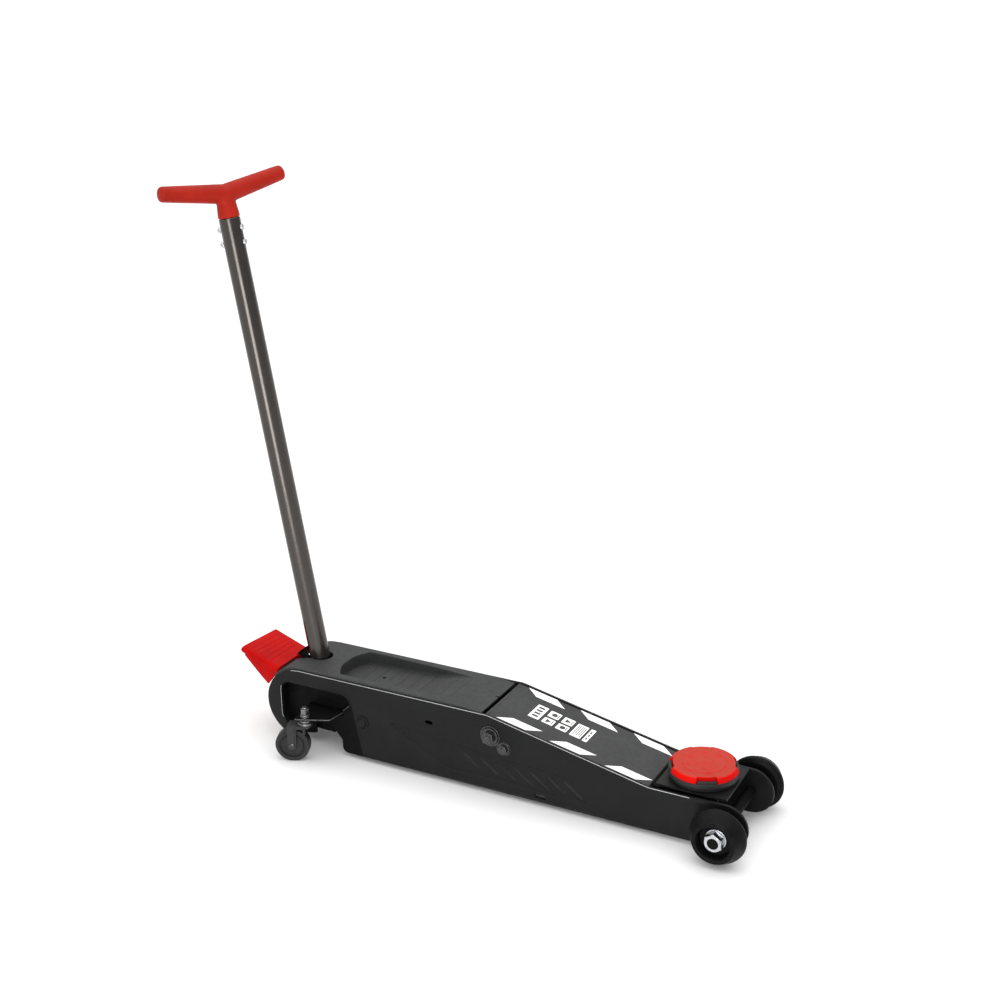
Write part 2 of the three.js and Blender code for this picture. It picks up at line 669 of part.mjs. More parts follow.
// ---- handle: everything here stands on the handle pivot, with the tube along local Z ----
function yokeSocket() {
  const outer = 19.5;
  const bore = TUBE_R + GAP;
  const floor = -16.4;
  const profile = [
    [0, -20], [17, -20], [outer, -17], [outer, 12], [bore, 12], [bore, floor], [0, floor],
  ];
  const reach = 33.1;                          // roller from the handle pivot
  const up = rad(25 + HANDLE_LEAN);
  const roller = [-reach * Math.cos(up), reach * Math.sin(up)];
  const lug = [
    [-15.8, 4], [-19, 10], [roller[0] + 2.5, roller[1] - 3.6], [roller[0], roller[1] + 4], [-15.8, 20],
  ];
  return turned(profile, 28)
    .add(bar('y', 0, 0, 17.5, 43.7, YOKE_PIN_R))
    .add(bar('y', 0, 0, -43.7, -17.5, YOKE_PIN_R))
    .add(plateXZ(lug, -6, 6))
    .add(bar('y', ...roller, -6, 6, 4.5))
    .subtract(bar('z', 0, 0, floor, 40, bore, bore, 28));
}

function tGrip() {
  const plug = bar('z', 0, 0, 655, TUBE_END + 1, TUBE_R - TUBE_WALL - GAP)
    .add(bar('z', 0, 0, TUBE_END + GAP, GRIP_AT, TUBE_R, TUBE_R + 0.5, 20));
  const slant = Math.atan2(GRIP_RISE, GRIP_HALF);
  const length = GRIP_HALF / Math.cos(slant);
  const tip = 11;
  const profile = [[0, 0], [13.8, 0], [13.4, 14], [tip, length - tip]];
  for (let i = 1; i <= 4; i += 1) {
    const a = i * Math.PI / 8;
    profile.push([i === 4 ? 0 : tip * Math.cos(a), length - tip + tip * Math.sin(a)]);
  }
  const arm = turned(profile, 16);
  let grip = plug.add(solid(new THREE.SphereGeometry(14.2, 16, 10)).translate([0, 0, GRIP_AT]));
  for (const side of [1, -1]) {
    const tilt = side * (90 - slant * 180 / Math.PI);
    grip = grip.add(placed(arm, { turn: [-tilt, 0, 0], move: [0, 0, GRIP_AT] }));
  }
  return grip;
}

function addHandle() {
  const stand = new THREE.Group();
  stand.position.set(HANDLE_PIVOT[0], 0, HANDLE_PIVOT[1]);
  stand.rotation.y = -rad(HANDLE_LEAN);
  jack.add(stand);
  add('handle_socket', yokeSocket(), 'inner_steel', stand);

  const turn = new THREE.Group();
  turn.rotation.z = -rad(GRIP_TURN);
  stand.add(turn);
  const wall = TUBE_R - TUBE_WALL;
  const tube = [[wall, -16], [TUBE_R, -16], [TUBE_R, TUBE_END], [wall, TUBE_END], [wall, -16]];
  const hole = SCREW_R + GAP;
  let drilled = turned(tube, 24);
  let grip = tGrip();
  const across = (body) => body.rotate([0, 0, SCREW_TURN]);
  for (const h of SCREWS_AT) {
    drilled = drilled.subtract(across(bar('x', 0, h, -20, 20, hole, hole, 8)));
    grip = grip.subtract(across(bar('x', 0, h, 6, 20, hole, hole, 8)))
      .subtract(across(bar('x', 0, h, -20, -6, hole, hole, 8)));
  }
  add('handle_tube', drilled, 'tube_grey', turn);
  add('t_grip', grip, 'grip_red', turn);
  let number = 1;
  for (const h of SCREWS_AT) {
    const screw = bar('x', 0, h, 8, 16, SCREW_R, SCREW_R, 8)
      .add(bar('x', 0, h, TUBE_R + GAP, 18.8, 4.6, 3, 12));
    const nut = bar('x', 0, h, -22, -8, SCREW_R, SCREW_R, 8)
      .add(bar('x', 0, h, -19.8, -TUBE_R - GAP, 4.4, 4.4, 6));
    for (const body of [screw, nut]) {
      add(`grip_screw_${number}`, across(body), 'zinc', turn);
      number += 1;
    }
  }
}

// ---- the whole jack ----
for (const [name, side] of SIDES) {
  add(`side_plate_${name}`, mirrored(sidePlate(), side), 'body_black');
  add(`caster_bracket_${name}`, mirrored(casterBracket(), side), 'inner_steel');
  addCaster(name, side);
}
add('rear_cover', rearCover(), 'cover_grey');
addFrontAxle();
addFlankBolts();
addHydraulics();
addLinkage();
addSaddle();
addPedal();
addHandle();

export default jack;
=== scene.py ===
"""Looks for a long trolley jack: detailed pieces, finishes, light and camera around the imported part.

Shapes are written in millimetres from the point on the floor under the front axle, +X towards the
front wheels, +Y to the left and +Z up, and are moved into the row frame as each mesh is made.
"""

import json
import math

import bmesh
import bpy
import numpy as np
from mathutils import Matrix, Vector
from mathutils.geometry import delaunay_2d_cdt


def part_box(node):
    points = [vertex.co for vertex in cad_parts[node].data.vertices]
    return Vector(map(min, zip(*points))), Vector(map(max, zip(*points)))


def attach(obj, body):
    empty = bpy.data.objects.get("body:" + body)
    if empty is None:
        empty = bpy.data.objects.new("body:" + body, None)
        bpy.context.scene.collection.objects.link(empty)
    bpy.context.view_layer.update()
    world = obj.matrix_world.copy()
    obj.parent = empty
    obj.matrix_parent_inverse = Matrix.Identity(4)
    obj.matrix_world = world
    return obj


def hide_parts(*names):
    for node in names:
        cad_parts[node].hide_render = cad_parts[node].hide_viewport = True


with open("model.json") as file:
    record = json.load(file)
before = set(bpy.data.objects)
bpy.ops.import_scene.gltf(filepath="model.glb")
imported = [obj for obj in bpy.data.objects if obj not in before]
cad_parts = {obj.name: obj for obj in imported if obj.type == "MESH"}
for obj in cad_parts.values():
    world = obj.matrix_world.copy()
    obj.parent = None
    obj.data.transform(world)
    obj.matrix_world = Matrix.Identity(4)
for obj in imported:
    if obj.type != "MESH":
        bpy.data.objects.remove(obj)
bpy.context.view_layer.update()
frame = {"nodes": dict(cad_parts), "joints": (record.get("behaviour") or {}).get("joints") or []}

MM = 0.001
SIDES = (("left", 1), ("right", -1))


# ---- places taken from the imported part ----
def middle(node):
    low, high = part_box(node)
    return (low + high) / 2


def joint(name):
    return next(j for j in frame["joints"] if j["name"] == name)


AXLE_X = middle("front_axle").x
INTO_ROW = Matrix.Translation((AXLE_X, 0, 0)) @ Matrix.Scale(MM, 4)
FROM_ROW = INTO_ROW.inverted()


def span(node):
    """Lowest and highest corner of a CAD node, in millimetres from the front axle."""
    low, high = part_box(node)
    return FROM_ROW @ low, FROM_ROW @ high


PLATE_LOW, PLATE_HIGH = span("side_plate_left")
PLATE_OUT = PLATE_HIGH.y
PLATE_IN = PLATE_LOW.y
PLATE_TOP = PLATE_HIGH.z
PLATE_BOTTOM = PLATE_LOW.z
KNEE = Vector((-360, 0, PLATE_TOP))
BEND = Vector((-110, 0, 75))
SLOPE = (BEND - KNEE).normalized()
NOSE = (0, 41)
NOSE_R = BEND.z - NOSE[1]
REAR = (-690, 70)
REAR_R = REAR[0] - PLATE_LOW.x
WHEEL_R = span("front_wheel_left")[1].z / 2
ARM_PIVOT = FROM_ROW @ Vector(joint("arm_lift")["pos_m"])
ROD_PIVOT = FROM_ROW @ Vector(joint("tie_rod_swing")["pos_m"])
SADDLE = FROM_ROW @ Vector(joint("saddle_swivel")["pos_m"])
HANDLE_PIVOT = FROM_ROW @ Vector(joint("handle_pump")["pos_m"])
HANDLE_AXIS = Vector(joint("handle_twist")["axis"]).normalized()
PEDAL_PIVOT = FROM_ROW @ Vector(joint("pedal_press")["pos_m"])
MOUNT_BOLT = (-575, 66)


# ---- outlines and small maths ----
def arc(cx, cy, r, start, end, steps):
    """Points on an arc, angles in degrees, both ends included."""
    return [polar(cx, cy, r, start + (end - start) * i / steps) for i in range(steps + 1)]


def polar(cx, cy, r, degrees):
    """The point at an angle on a circle."""
    a = math.radians(degrees)
    return cx + r * math.cos(a), cy + r * math.sin(a)


def hexagon(corner, turn=0):
    """A hexagon's corners, for a nut or a bolt head."""
    return arc(0, 0, corner, turn, turn + 300, 5)


def rolled_edge(half, r, turns):
    """The rounded end of a cross-section, as (y, drop) pairs."""
    turns = [math.radians(a) for a in turns]
    return [(half - r + r * math.sin(t), r * (1 - math.cos(t))) for t in turns]


def both_ways(across):
    """A cross-section from its middle outwards, mirrored to run from edge to edge."""
    return [(-y, d) for y, d in reversed(across)] + across[1:]


def rounded(corners, closed=True, steps=5):
    """A line with rounded corners. Each corner is (x, y) or (x, y, radius)."""
    out = []
    count = len(corners)
    for i, corner in enumerate(corners):
        here = Vector(corner[:2])
        r = corner[2] if len(corner) > 2 else 0
        if r == 0 or (not closed and i in (0, count - 1)):
            out.append(tuple(here))
            continue
        back = (Vector(corners[i - 1][:2]) - here).normalized()
        ahead = (Vector(corners[(i + 1) % count][:2]) - here).normalized()
        half = back.angle(ahead) / 2
        reach = r / math.tan(half)
        start = here + back * reach
        end = here + ahead * reach
        centre = here + (back + ahead).normalized() * (r / math.sin(half))
        a0 = math.atan2(*(start - centre).yx)
        a1 = math.atan2(*(end - centre).yx)
        turn = (a1 - a0 + math.pi) % (2 * math.pi) - math.pi
        for k in range(steps + 1):
            a = a0 + turn * k / steps
            out.append((centre.x + r * math.cos(a), centre.y + r * math.sin(a)))
    return out


def smooth(value, low, high):
    """0 below low, 1 above high and an easy curve between, for arrays too."""
    t = np.clip((np.asarray(value, float) - low) / (high - low), 0, 1)
    return t * t * (3 - 2 * t)


def line_distance(points, loop, closed=True):
    """Distance from each point to a polyline."""
    loop = np.asarray(loop, float)
    ends = np.roll(loop, -1, axis=0) if closed else loop[1:]
    starts = loop if closed else loop[:-1]
    best = np.full(len(points), 1e9)
    for a, b in zip(starts, ends):
        d = b - a
        length = max(float(d @ d), 1e-12)
        t = np.clip((points - a) @ d / length, 0, 1)
        gap = points - (a + t[:, None] * d)
        best = np.minimum(best, np.hypot(gap[:, 0], gap[:, 1]))
    return best


def inside(points, loop):
    """Which points lie inside a closed polyline."""
    loop = np.asarray(loop, float)
    x, y = points[:, 0], points[:, 1]
    result = np.zeros(len(points), bool)
    for (ax, ay), (bx, by) in zip(loop, np.roll(loop, -1, axis=0)):
        if ay == by:
            continue
        crosses = (ay > y) != (by > y)
        result ^= crosses & (x < (bx - ax) * (y - ay) / (by - ay) + ax)
    return result


# ---- meshes ----
def new_mesh(verts, faces):
    mesh = bpy.data.meshes.new("shape")
    mesh.from_pydata([tuple(v) for v in verts], [], faces)
    mesh.validate()
    return mesh


def outward(mesh):
    """Turns the faces of a closed mesh outwards."""
    bm = bmesh.new()
    bm.from_mesh(mesh)
    bmesh.ops.remove_doubles(bm, verts=bm.verts, dist=1e-4)
    bmesh.ops.recalc_face_normals(bm, faces=bm.faces)
    bm.to_mesh(mesh)
    bm.free()
    return mesh


def capped(mesh):
    """The mesh with its open ends filled."""
    bm = bmesh.new()
    bm.from_mesh(mesh)
    bmesh.ops.holes_fill(bm, edges=[e for e in bm.edges if e.is_boundary], sides=0)
    bm.to_mesh(mesh)
    bm.free()
    return outward(mesh)


def grid(rows, ring=False):
    """Quads between equally long rows of points; a ring joins each row's end to its start."""
    width = len(rows[0])
    verts = [p for row in rows for p in row]
    faces = []
    for i in range(len(rows) - 1):
        for k in range(width if ring else width - 1):
            n = (k + 1) % width
            faces.append((i * width + k, i * width + n, (i + 1) * width + n, (i + 1) * width + k))
    return new_mesh(verts, faces)


def lathe(profile, segments=64, closed=False):
    """A turned shape about local Z, from (radius, height) pairs."""
    rows = []
    for r, h in profile + ([profile[0]] if closed else []):
        row = []
        for i in range(segments):
            a = 2 * math.pi * i / segments
            row.append((r * math.cos(a), r * math.sin(a), h))
        rows.append(row)
    return outward(grid(rows, ring=True))


def slab(loops, low, high, edge=0.8, steps=2, plane="XZ"):
    """A plate with holes and rounded edges: the first loop is its outline, the others are holes."""
    curve = bpy.data.curves.new("outline", "CURVE")
    curve.dimensions = "2D"
    curve.fill_mode = "BOTH"
    curve.extrude = (high - low) / 2 - edge
    curve.bevel_depth = edge
    curve.bevel_resolution = steps
    curve.offset = -edge
    for loop in loops:
        spline = curve.splines.new("POLY")
        spline.points.add(len(loop) - 1)
        for point, (u, v) in zip(spline.points, loop):
            point.co = (u, v, 0, 1)
        spline.use_cyclic_u = True
    holder = bpy.data.objects.new("outline", curve)
    mesh = bpy.data.meshes.new_from_object(holder)
    bpy.data.objects.remove(holder)
    bpy.data.curves.remove(curve)
    mesh.transform(Matrix.Translation((0, 0, (low + high) / 2)))
    if plane == "XZ":
        mesh.transform(Matrix(((1, 0, 0, 0), (0, 0, 1, 0), (0, 1, 0, 0), (0, 0, 0, 1))))
    return outward(mesh)


def block(x, y, z, edge=0.8, steps=2):
    """A box with rounded edges, from (low, high) pairs."""
    bm = bmesh.new()
    bmesh.ops.create_cube(bm, size=1)
    for v in bm.verts:
        v.co = Vector(pair[0] + (pair[1] - pair[0]) * (c + 0.5) for pair, c in zip((x, y, z), v.co))
    bmesh.ops.bevel(bm, geom=bm.edges[:], offset=edge, segments=steps, affect="EDGES", profile=0.5)
    mesh = bpy.data.meshes.new("shape")
    bm.to_mesh(mesh)
    bm.free()
    return mesh


def sweep(points, radius, sides=10):
    """A round bar along a list of points, with closed ends."""
    points = [Vector(p) for p in points]
    rows = []
    for i, p in enumerate(points):
        ahead = points[min(i + 1, len(points) - 1)] - points[max(i - 1, 0)]
        ahead.normalize()
        side = ahead.orthogonal().normalized() if i == 0 else (last - ahead * last.dot(ahead)).normalized()
        last = side
        up = ahead.cross(side)
        row = []
        for k in range(sides):
            a = 2 * math.pi * k / sides
            row.append(p + (side * math.cos(a) + up * math.sin(a)) * radius)
        rows.append(row)
    return capped(grid(rows, ring=True))


def moved(mesh, matrix):
    mesh.transform(matrix)
    if matrix.determinant() < 0:
        mesh.flip_normals()
    return mesh


def along_y(mesh, x, z, y=0.0, side=1):
    """Lays a turned shape's axis along Y, outwards on the given side."""
    turn = Matrix.Rotation(-math.pi / 2, 4, "X")
    flip = Matrix.Scale(side, 4, (0, 1, 0))
    return moved(mesh, flip @ Matrix.Translation((x, y, z)) @ turn)


def other_side(mesh, side):
    """The mesh as it is on the left, or mirrored to the right."""
    if side > 0:
        return mesh
    return moved(mesh, Matrix.Scale(-1, 4, (0, 1, 0)))


def joined(*meshes):
    """Several meshes as one."""
    bm = bmesh.new()
    for mesh in meshes:
        bm.from_mesh(mesh)
    out = bpy.data.meshes.new("shape")
    bm.to_mesh(out)
    bm.free()
    return out


def with_modifiers(mesh, *modifiers):
    """The mesh after a list of (type, settings) modifiers."""
    holder = bpy.data.objects.new("holder", mesh)
    bpy.context.scene.collection.objects.link(holder)
    for kind, settings in modifiers:
        modifier = holder.modifiers.new(kind, kind)
        for key, value in settings.items():
            setattr(modifier, key, value)
    bpy.context.view_layer.update()
    graph = bpy.context.evaluated_depsgraph_get()
    out = bpy.data.meshes.new_from_object(holder.evaluated_get(graph))
    bpy.data.objects.remove(holder)
    return out


def cut(mesh, tool, operation="DIFFERENCE"):
    """The mesh with another one taken out of it, or only what they share."""
    cutter = bpy.data.objects.new("cutter", tool)
    bpy.context.scene.collection.objects.link(cutter)
    out = with_modifiers(mesh, ("BOOLEAN", {"object": cutter, "operation": operation, "solver": "EXACT"}))
    bpy.data.objects.remove(cutter)
    return out


def piece(name, mesh, body, looks, replaces=(), sharp=35):
    """Makes a mesh, still in millimetres, into a piece that rides on a CAD body."""
    mesh = mesh.copy()
    mesh.transform(INTO_ROW)
    mesh.name = name
    for look in looks if isinstance(looks, (list, tuple)) else (looks,):
        mesh.materials.append(look)
    mesh.shade_smooth()
    mesh.set_sharp_from_angle(angle=math.radians(sharp))
    obj = bpy.data.objects.new(name, mesh)
    bpy.context.scene.collection.objects.link(obj)
    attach(obj, body)
    if replaces:
        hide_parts(*replaces)
    return obj


def paired(parts, sharp=35):
    """Left and right pieces for the CAD nodes of the same name; {} in a body stands for the side."""
    for name, side in SIDES:
        for part, mesh, body, look, slot in parts:
            shape = other_side(mesh.copy(), side)
            piece(f"{part}_{name}_detail", shape, body.format(name), look, [f"{part}_{name}"], sharp)


# ---- finishes ----
class Look:
    """A procedural finish: a Principled surface whose inputs are fed by noise in the part's own space."""

    def __init__(self, name, roughness, metallic=0.0, **sockets):
        self.material = bpy.data.materials.new(name)
        self.material.use_nodes = True
        self.nodes = self.material.node_tree.nodes
        self.links = self.material.node_tree.links
        self.shader = self.nodes["Principled BSDF"]
        for key, value in {"Roughness": roughness, "Metallic": metallic, **sockets}.items():
            self.shader.inputs[key.replace("_", " ")].default_value = value
        self.place = self.nodes.new("ShaderNodeTexCoord").outputs["Object"]

    def add(self, kind, values, links):
        """A node with constants on some inputs and links into others."""
        node = self.nodes.new("ShaderNode" + kind)
        for key, value in values.items():
            node.inputs[key].default_value = value
        for key, socket in links.items():
            self.links.new(socket, node.inputs[key])
        return node

    def noise(self, scale, detail=3.0, rough=0.55, stretch=(1, 1, 1)):
        vector = self.place
        if stretch != (1, 1, 1):
            vector = self.add("Mapping", {"Scale": stretch}, {"Vector": vector}).outputs["Vector"]
        values = {"Scale": scale, "Detail": detail, "Roughness": rough}
        return self.add("TexNoise", values, {"Vector": vector}).outputs["Fac"]

    def cells(self, scale):
        return self.add("TexVoronoi", {"Scale": scale}, {"Vector": self.place}).outputs["Distance"]

    def spread(self, value, low, high, out_low=0.0, out_high=1.0):
        values = {"From Min": low, "From Max": high, "To Min": out_low, "To Max": out_high}
        return self.add("MapRange", values, {"Value": value}).outputs["Result"]

    def clouds(self, noise, low, high, out_low=0.0, out_high=1.0):
        """Noise of the given settings, spread between two levels."""
        return self.spread(self.noise(*noise), low, high, out_low, out_high)

    def times(self, a, b):
        constant = isinstance(b, (int, float))
        node = self.add("Math", {1: b} if constant else {}, {0: a} if constant else {0: a, 1: b})
        node.operation = "MULTIPLY"
        return node.outputs[0]

    def facing_up(self, low, high):
        """1 where the surface faces up, 0 where it stands upright."""
        normal = self.nodes.new("ShaderNodeNewGeometry").outputs["Normal"]
        return self.spread(self.add("SeparateXYZ", {}, {0: normal}).outputs["Z"], low, high)

    def mix(self, share, a, b):
        node = self.nodes.new("ShaderNodeMix")
        node.data_type = "RGBA"
        self.links.new(share, node.inputs["Factor"])
        for socket, colour in ((node.inputs[6], a), (node.inputs[7], b)):
            if isinstance(colour, tuple):
                socket.default_value = (*colour, 1)
            else:
                self.links.new(colour, socket)
        return node.outputs[2]

    def colour(self, value):
        self.links.new(value, self.shader.inputs["Base Color"])

    def roughness(self, noise, low, high):
        self.links.new(self.clouds(noise, 0.3, 0.7, low, high), self.shader.inputs["Roughness"])

    def metal(self, value):
        self.links.new(value, self.shader.inputs["Metallic"])

    def bump(self, *layers):
        """Layers of (value, height in metres, strength), one on top of the other."""
        normal = None
        for value, height, strength in layers:
            links = {"Height": value} if normal is None else {"Height": value, "Normal": normal}
            normal = self.add("Bump", {"Distance": height, "Strength": strength}, links).outputs["Normal"]
        self.links.new(normal, self.shader.inputs["Normal"])


def painted(name, dark, light, roughness, gloss=0.35, grain=700, dust=(0.05, 0.05, 0.05), lift=0.25):
    """Sprayed paint: fine orange peel, clouds of tone, faint rubbed streaks and a little dust on top."""
    look = Look(name, roughness, Specular_IOR_Level=gloss)
    clouds = look.clouds((14, 4), 0.35, 0.7)
    base = look.mix(clouds, dark, light)
    streaks = look.clouds((60, 5, 0.7, (1, 1, 9)), 0.62, 0.8, 0, 0.25)
    base = look.mix(streaks, base, tuple(c * 1.8 for c in light))
    settled = look.times(look.facing_up(0.6, 1.0), look.clouds((45, 5, 0.65), 0.4, 0.75, 0, lift))
    look.colour(look.mix(settled, base, dust))
    look.roughness((90, 4), roughness - 0.06, roughness + 0.1)
    look.bump((look.noise(grain, 2), 0.00012, 0.3), (look.noise(26, 2), 0.0006, 0.12))
    return look.material


def edge_wear_and_highlight(name, paint, bare_and_lit, roughness, share=0.5):
    """Edges rubbed bright: partly paint that lets the metal through in patches, partly painted highlight."""
    look = Look(name, roughness, Specular_IOR_Level=0.5)
    patches = look.clouds((70, 6, 0.7), 0.62 - share * 0.3, 0.72 - share * 0.3)
    look.colour(look.mix(patches, paint, bare_and_lit))
    look.metal(look.times(patches, 0.55))
    look.roughness((400, 3), roughness - 0.08, roughness + 0.12)
    look.bump((look.noise(800, 2), 0.0001, 0.3))
    return look.material


def textured(name, dark, light, roughness, dust):
    """Moulded or powder-coated skin with a fine leathery grain."""
    look = Look(name, roughness, Specular_IOR_Level=0.4)
    clouds = look.clouds((9, 5, 0.6), 0.3, 0.7)
    base = look.mix(clouds, dark, light)
    specks = look.clouds((950, 2), 0.35, 0.65, 0, 0.35)
    base = look.mix(specks, base, tuple(c * 1.5 for c in light))
    settled = look.times(look.facing_up(0.5, 1.0), look.clouds((22, 6, 0.65), 0.35, 0.8, 0, 0.35))
    look.colour(look.mix(settled, base, dust))
    look.roughness((120, 4), roughness - 0.05, roughness + 0.1)
    look.bump((look.noise(1500, 2), 0.00018, 0.55), (look.cells(900), 0.0001, 0.3))
    return look.material


def metal(name, dark, light, roughness, stretch=(1, 1, 1), gloss=1.0):
    """Plated or machined metal with brushed streaks and a few dull spots."""
    look = Look(name, roughness, gloss)
    base = look.mix(look.clouds((220, 5, 0.65, stretch), 0.3, 0.7), dark, light)
    spots = look.clouds((160, 6, 0.7), 0.62, 0.75, 0, 0.5)
    look.colour(look.mix(spots, base, tuple(c * 0.55 for c in dark)))
    look.roughness((300, 4, 0.6, stretch), roughness - 0.08, roughness + 0.14)
    look.bump((look.noise(600, 3, 0.6, stretch), 0.00006, 0.3))
    return look.material


def tube_coat():
    """Dark metallic powder coat with fine flake."""
    look = Look("tube_coat", 0.2, 0.9)
    flake = look.spread(look.cells(2600), 0.1, 0.5)
    base = look.mix(flake, (0.125, 0.116, 0.110), (0.062, 0.056, 0.052))
    rubbed = look.clouds((30, 6, 0.7, (1, 1, 0.35)), 0.6, 0.75, 0, 0.3)
    look.colour(look.mix(rubbed, base, (0.055, 0.05, 0.046)))
    look.roughness((70, 5), 0.17, 0.24)
    look.bump((look.noise(1300, 2), 0.0001, 0.45), (look.noise(35, 2, 0.5, (1, 1, 0.3)), 0.0005, 0.12))
    return look.material


def red(name, deep, bright, roughness, worn_and_lit, gloss, grain=650, height=0.0001, pale_top_spread=(0.5, 0.75, 0.6)):
    """Red paint or moulding: uneven tone, paler patches on what faces up (partly scuffed paint, partly
    painted top light), grime in the low spots.
    """
    look = Look(name, roughness, Specular_IOR_Level=gloss)
    base = look.mix(look.clouds((18, 4), 0.3, 0.7), deep, bright)
    low, high, most = pale_top_spread
    patches = look.clouds((85, 7, 0.75, (1, 2.5, 1)), low, high, 0, most)
    # paler where the surface faces up: partly scuffed paint, partly painted top light
    scuffs_and_top_light = look.times(look.facing_up(0.6, 0.97), patches)
    base = look.mix(scuffs_and_top_light, base, worn_and_lit)
    grime = look.clouds((40, 6, 0.7), 0.66, 0.82, 0, 0.35)
    look.colour(look.mix(grime, base, tuple(c * 0.35 for c in deep)))
    look.roughness((110, 4), roughness - 0.06, roughness + 0.12)
    look.bump((look.noise(grain, 3), height, 0.4), (look.noise(60, 3), 0.0004, 0.12))
    return look.material


def nylon(name, dark, light, dusty, gloss):
    """Wheel nylon, dull and dusty where it rolls."""
    look = Look(name, 0.44, Specular_IOR_Level=gloss)
    base = look.mix(look.clouds((25, 5), 0.3, 0.7), dark, light)
    dust = look.clouds((75, 7, 0.72), 0.48, 0.72, 0, 0.3)
    look.colour(look.mix(dust, base, dusty))
    look.roughness((140, 5), 0.34, 0.56)
    look.bump((look.noise(420, 4), 0.00012, 0.35), (look.noise(120, 5, 0.7), 0.00015, 0.2))
    return look.material


def printed(name, tone, stain, roughness=0.45):
    """Thin vinyl with slight staining and a paper-fine tooth."""
    look = Look(name, roughness)
    look.colour(look.mix(look.clouds((55, 6, 0.7), 0.45, 0.8, 0, 0.5), tone, stain))
    look.roughness((200, 3), roughness - 0.05, roughness + 0.1)
    look.bump((look.noise(1800, 2), 0.00003, 0.3))
    return look.material


PAINT = painted("body_paint", (0.005, 0.0051, 0.0052), (0.0078, 0.0079, 0.0081), 0.44, 0.15, 700,
                (0.02,) * 3)
# Edge finishes: painted highlights along edges and beads, partly drawn as rubbed paint; DIM_RIM is a dim
# painted highlight.
EDGE = edge_wear_and_highlight("body_edge_highlight", (0.06, 0.06, 0.061), (0.30, 0.30, 0.304), 0.36, 0.9)
RIM = edge_wear_and_highlight("rim_rubbed_highlight", (0.13, 0.13, 0.132), (0.44, 0.44, 0.445), 0.34, 1.3)
DIM_RIM = edge_wear_and_highlight("rim_dull_highlight", (0.022, 0.022, 0.0222), (0.10, 0.10, 0.101), 0.42, 0.8)
COVER = textured("cover_skin", (0.0155, 0.016, 0.0165), (0.024, 0.0245, 0.025), 0.58, (0.055, 0.055, 0.0545))
# Dark paint of the inner parts, made darker than the body paint as painted shade for the recess, its floor
# and the parts in shadow.
INNER_SHADE = painted("inner_paint_and_shade", (0.0028, 0.0028, 0.0029), (0.0046, 0.0046, 0.0048), 0.52, 0.06, 500,
                (0.009,) * 3)
FORK = painted("fork_paint", (0.014, 0.014, 0.0145), (0.023, 0.023, 0.024), 0.42, 0.35, 500)
HEAD = painted("head_paint", (0.0064, 0.0062, 0.0061), (0.0104, 0.0101, 0.0098), 0.46, 0.18, 420,
               (0.025, 0.023, 0.022), 0.3)
CUP = painted("cup_paint", (0.016, 0.0148, 0.0152), (0.027, 0.025, 0.025), 0.5, 0.25, 380,
              (0.05, 0.045, 0.045), 0.5)
ZINC = metal("zinc_plate", (0.42, 0.43, 0.45), (0.66, 0.67, 0.69), 0.24)
STEEL = metal("caster_steel", (0.10, 0.10, 0.104), (0.26, 0.26, 0.27), 0.34)
BOLT = metal("bolt_black", (0.030, 0.030, 0.031), (0.09, 0.09, 0.093), 0.26, gloss=0.8)
CHROME = metal("ram_chrome", (0.62, 0.63, 0.65), (0.80, 0.81, 0.83), 0.14, (6, 1, 1))
TUBE = tube_coat()
GRIP = red("grip_moulding", (0.27, 0.01, 0.0045), (0.37, 0.016, 0.0065), 0.46,
           (0.42, 0.045, 0.024), 0.1, 900)
PEDAL = red("pedal_paint", (0.36, 0.0010, 0.0006), (0.48, 0.0020, 0.0010), 0.40, (0.50, 0.012, 0.006), 0.06)
PAD = red("pad_rubber", (0.48, 0.0016, 0.0012), (0.62, 0.003, 0.002), 0.58, (0.42, 0.046, 0.032), 0.06, 1100,
          0.0002, (0.25, 0.5, 1.0))
NYLON = nylon("wheel_nylon", (0.0024, 0.0024, 0.0025), (0.0052, 0.0052, 0.0054),
              (0.015, 0.0148, 0.0145), 0.08)
ROLLER = nylon("roller_nylon", (0.014, 0.014, 0.0144), (0.026, 0.026, 0.0265), (0.05, 0.05, 0.049), 0.2)
WHITE = printed("sticker_white", (0.86, 0.86, 0.85), (0.62, 0.61, 0.59))
INK = printed("sticker_ink", (0.03, 0.03, 0.031), (0.06, 0.06, 0.06))


# ---- side plates ----
PLATE_T = PLATE_OUT - PLATE_IN
RECESS = {"rear": -722, "front": -596, "top": 106}
RIM_R = 0.5                         # bead of painted highlight along the pressed edges
RECESS_FLOOR = 44


def recess_edge():
    """The pressed edge over the caster, from its rear foot round to the top of the leg."""
    rear, front, top = RECESS["rear"], RECESS["front"], RECESS["top"]
    return rounded([
        (-702, 14), (-708, 28, 6), (rear, 46, 10), (rear, top, 16), (front, top - 1, 16), (front, 89, 4),
        (-609, 77, 2), (-609, 68.5, 0.5), (-636, 68.5, 0.5), (-636, 56),
    ], closed=False, steps=7)


def top_edge(front):
    """The plate's top edge, over the bend and the knee to the rear arc."""
    corners = [(front, BEND.z), (BEND.x, BEND.z, 60), (KNEE.x, KNEE.z, 26), (REAR[0], KNEE.z)]
    return rounded(corners, closed=False)


def flank_outline():
    rear = arc(*REAR, REAR_R, 90, 258, 30)
    nose = arc(*NOSE, NOSE_R, -90, 90, 18)
    foot = rounded([
        (-636, 56), (-635.6, 53.6, 0.5), (-613, 27, 3), (-613, PLATE_BOTTOM, 9), (-560, PLATE_BOTTOM),
    ], closed=False)
    return rear + recess_edge() + foot[1:-1] + nose[:-1] + top_edge(0)[:-1]


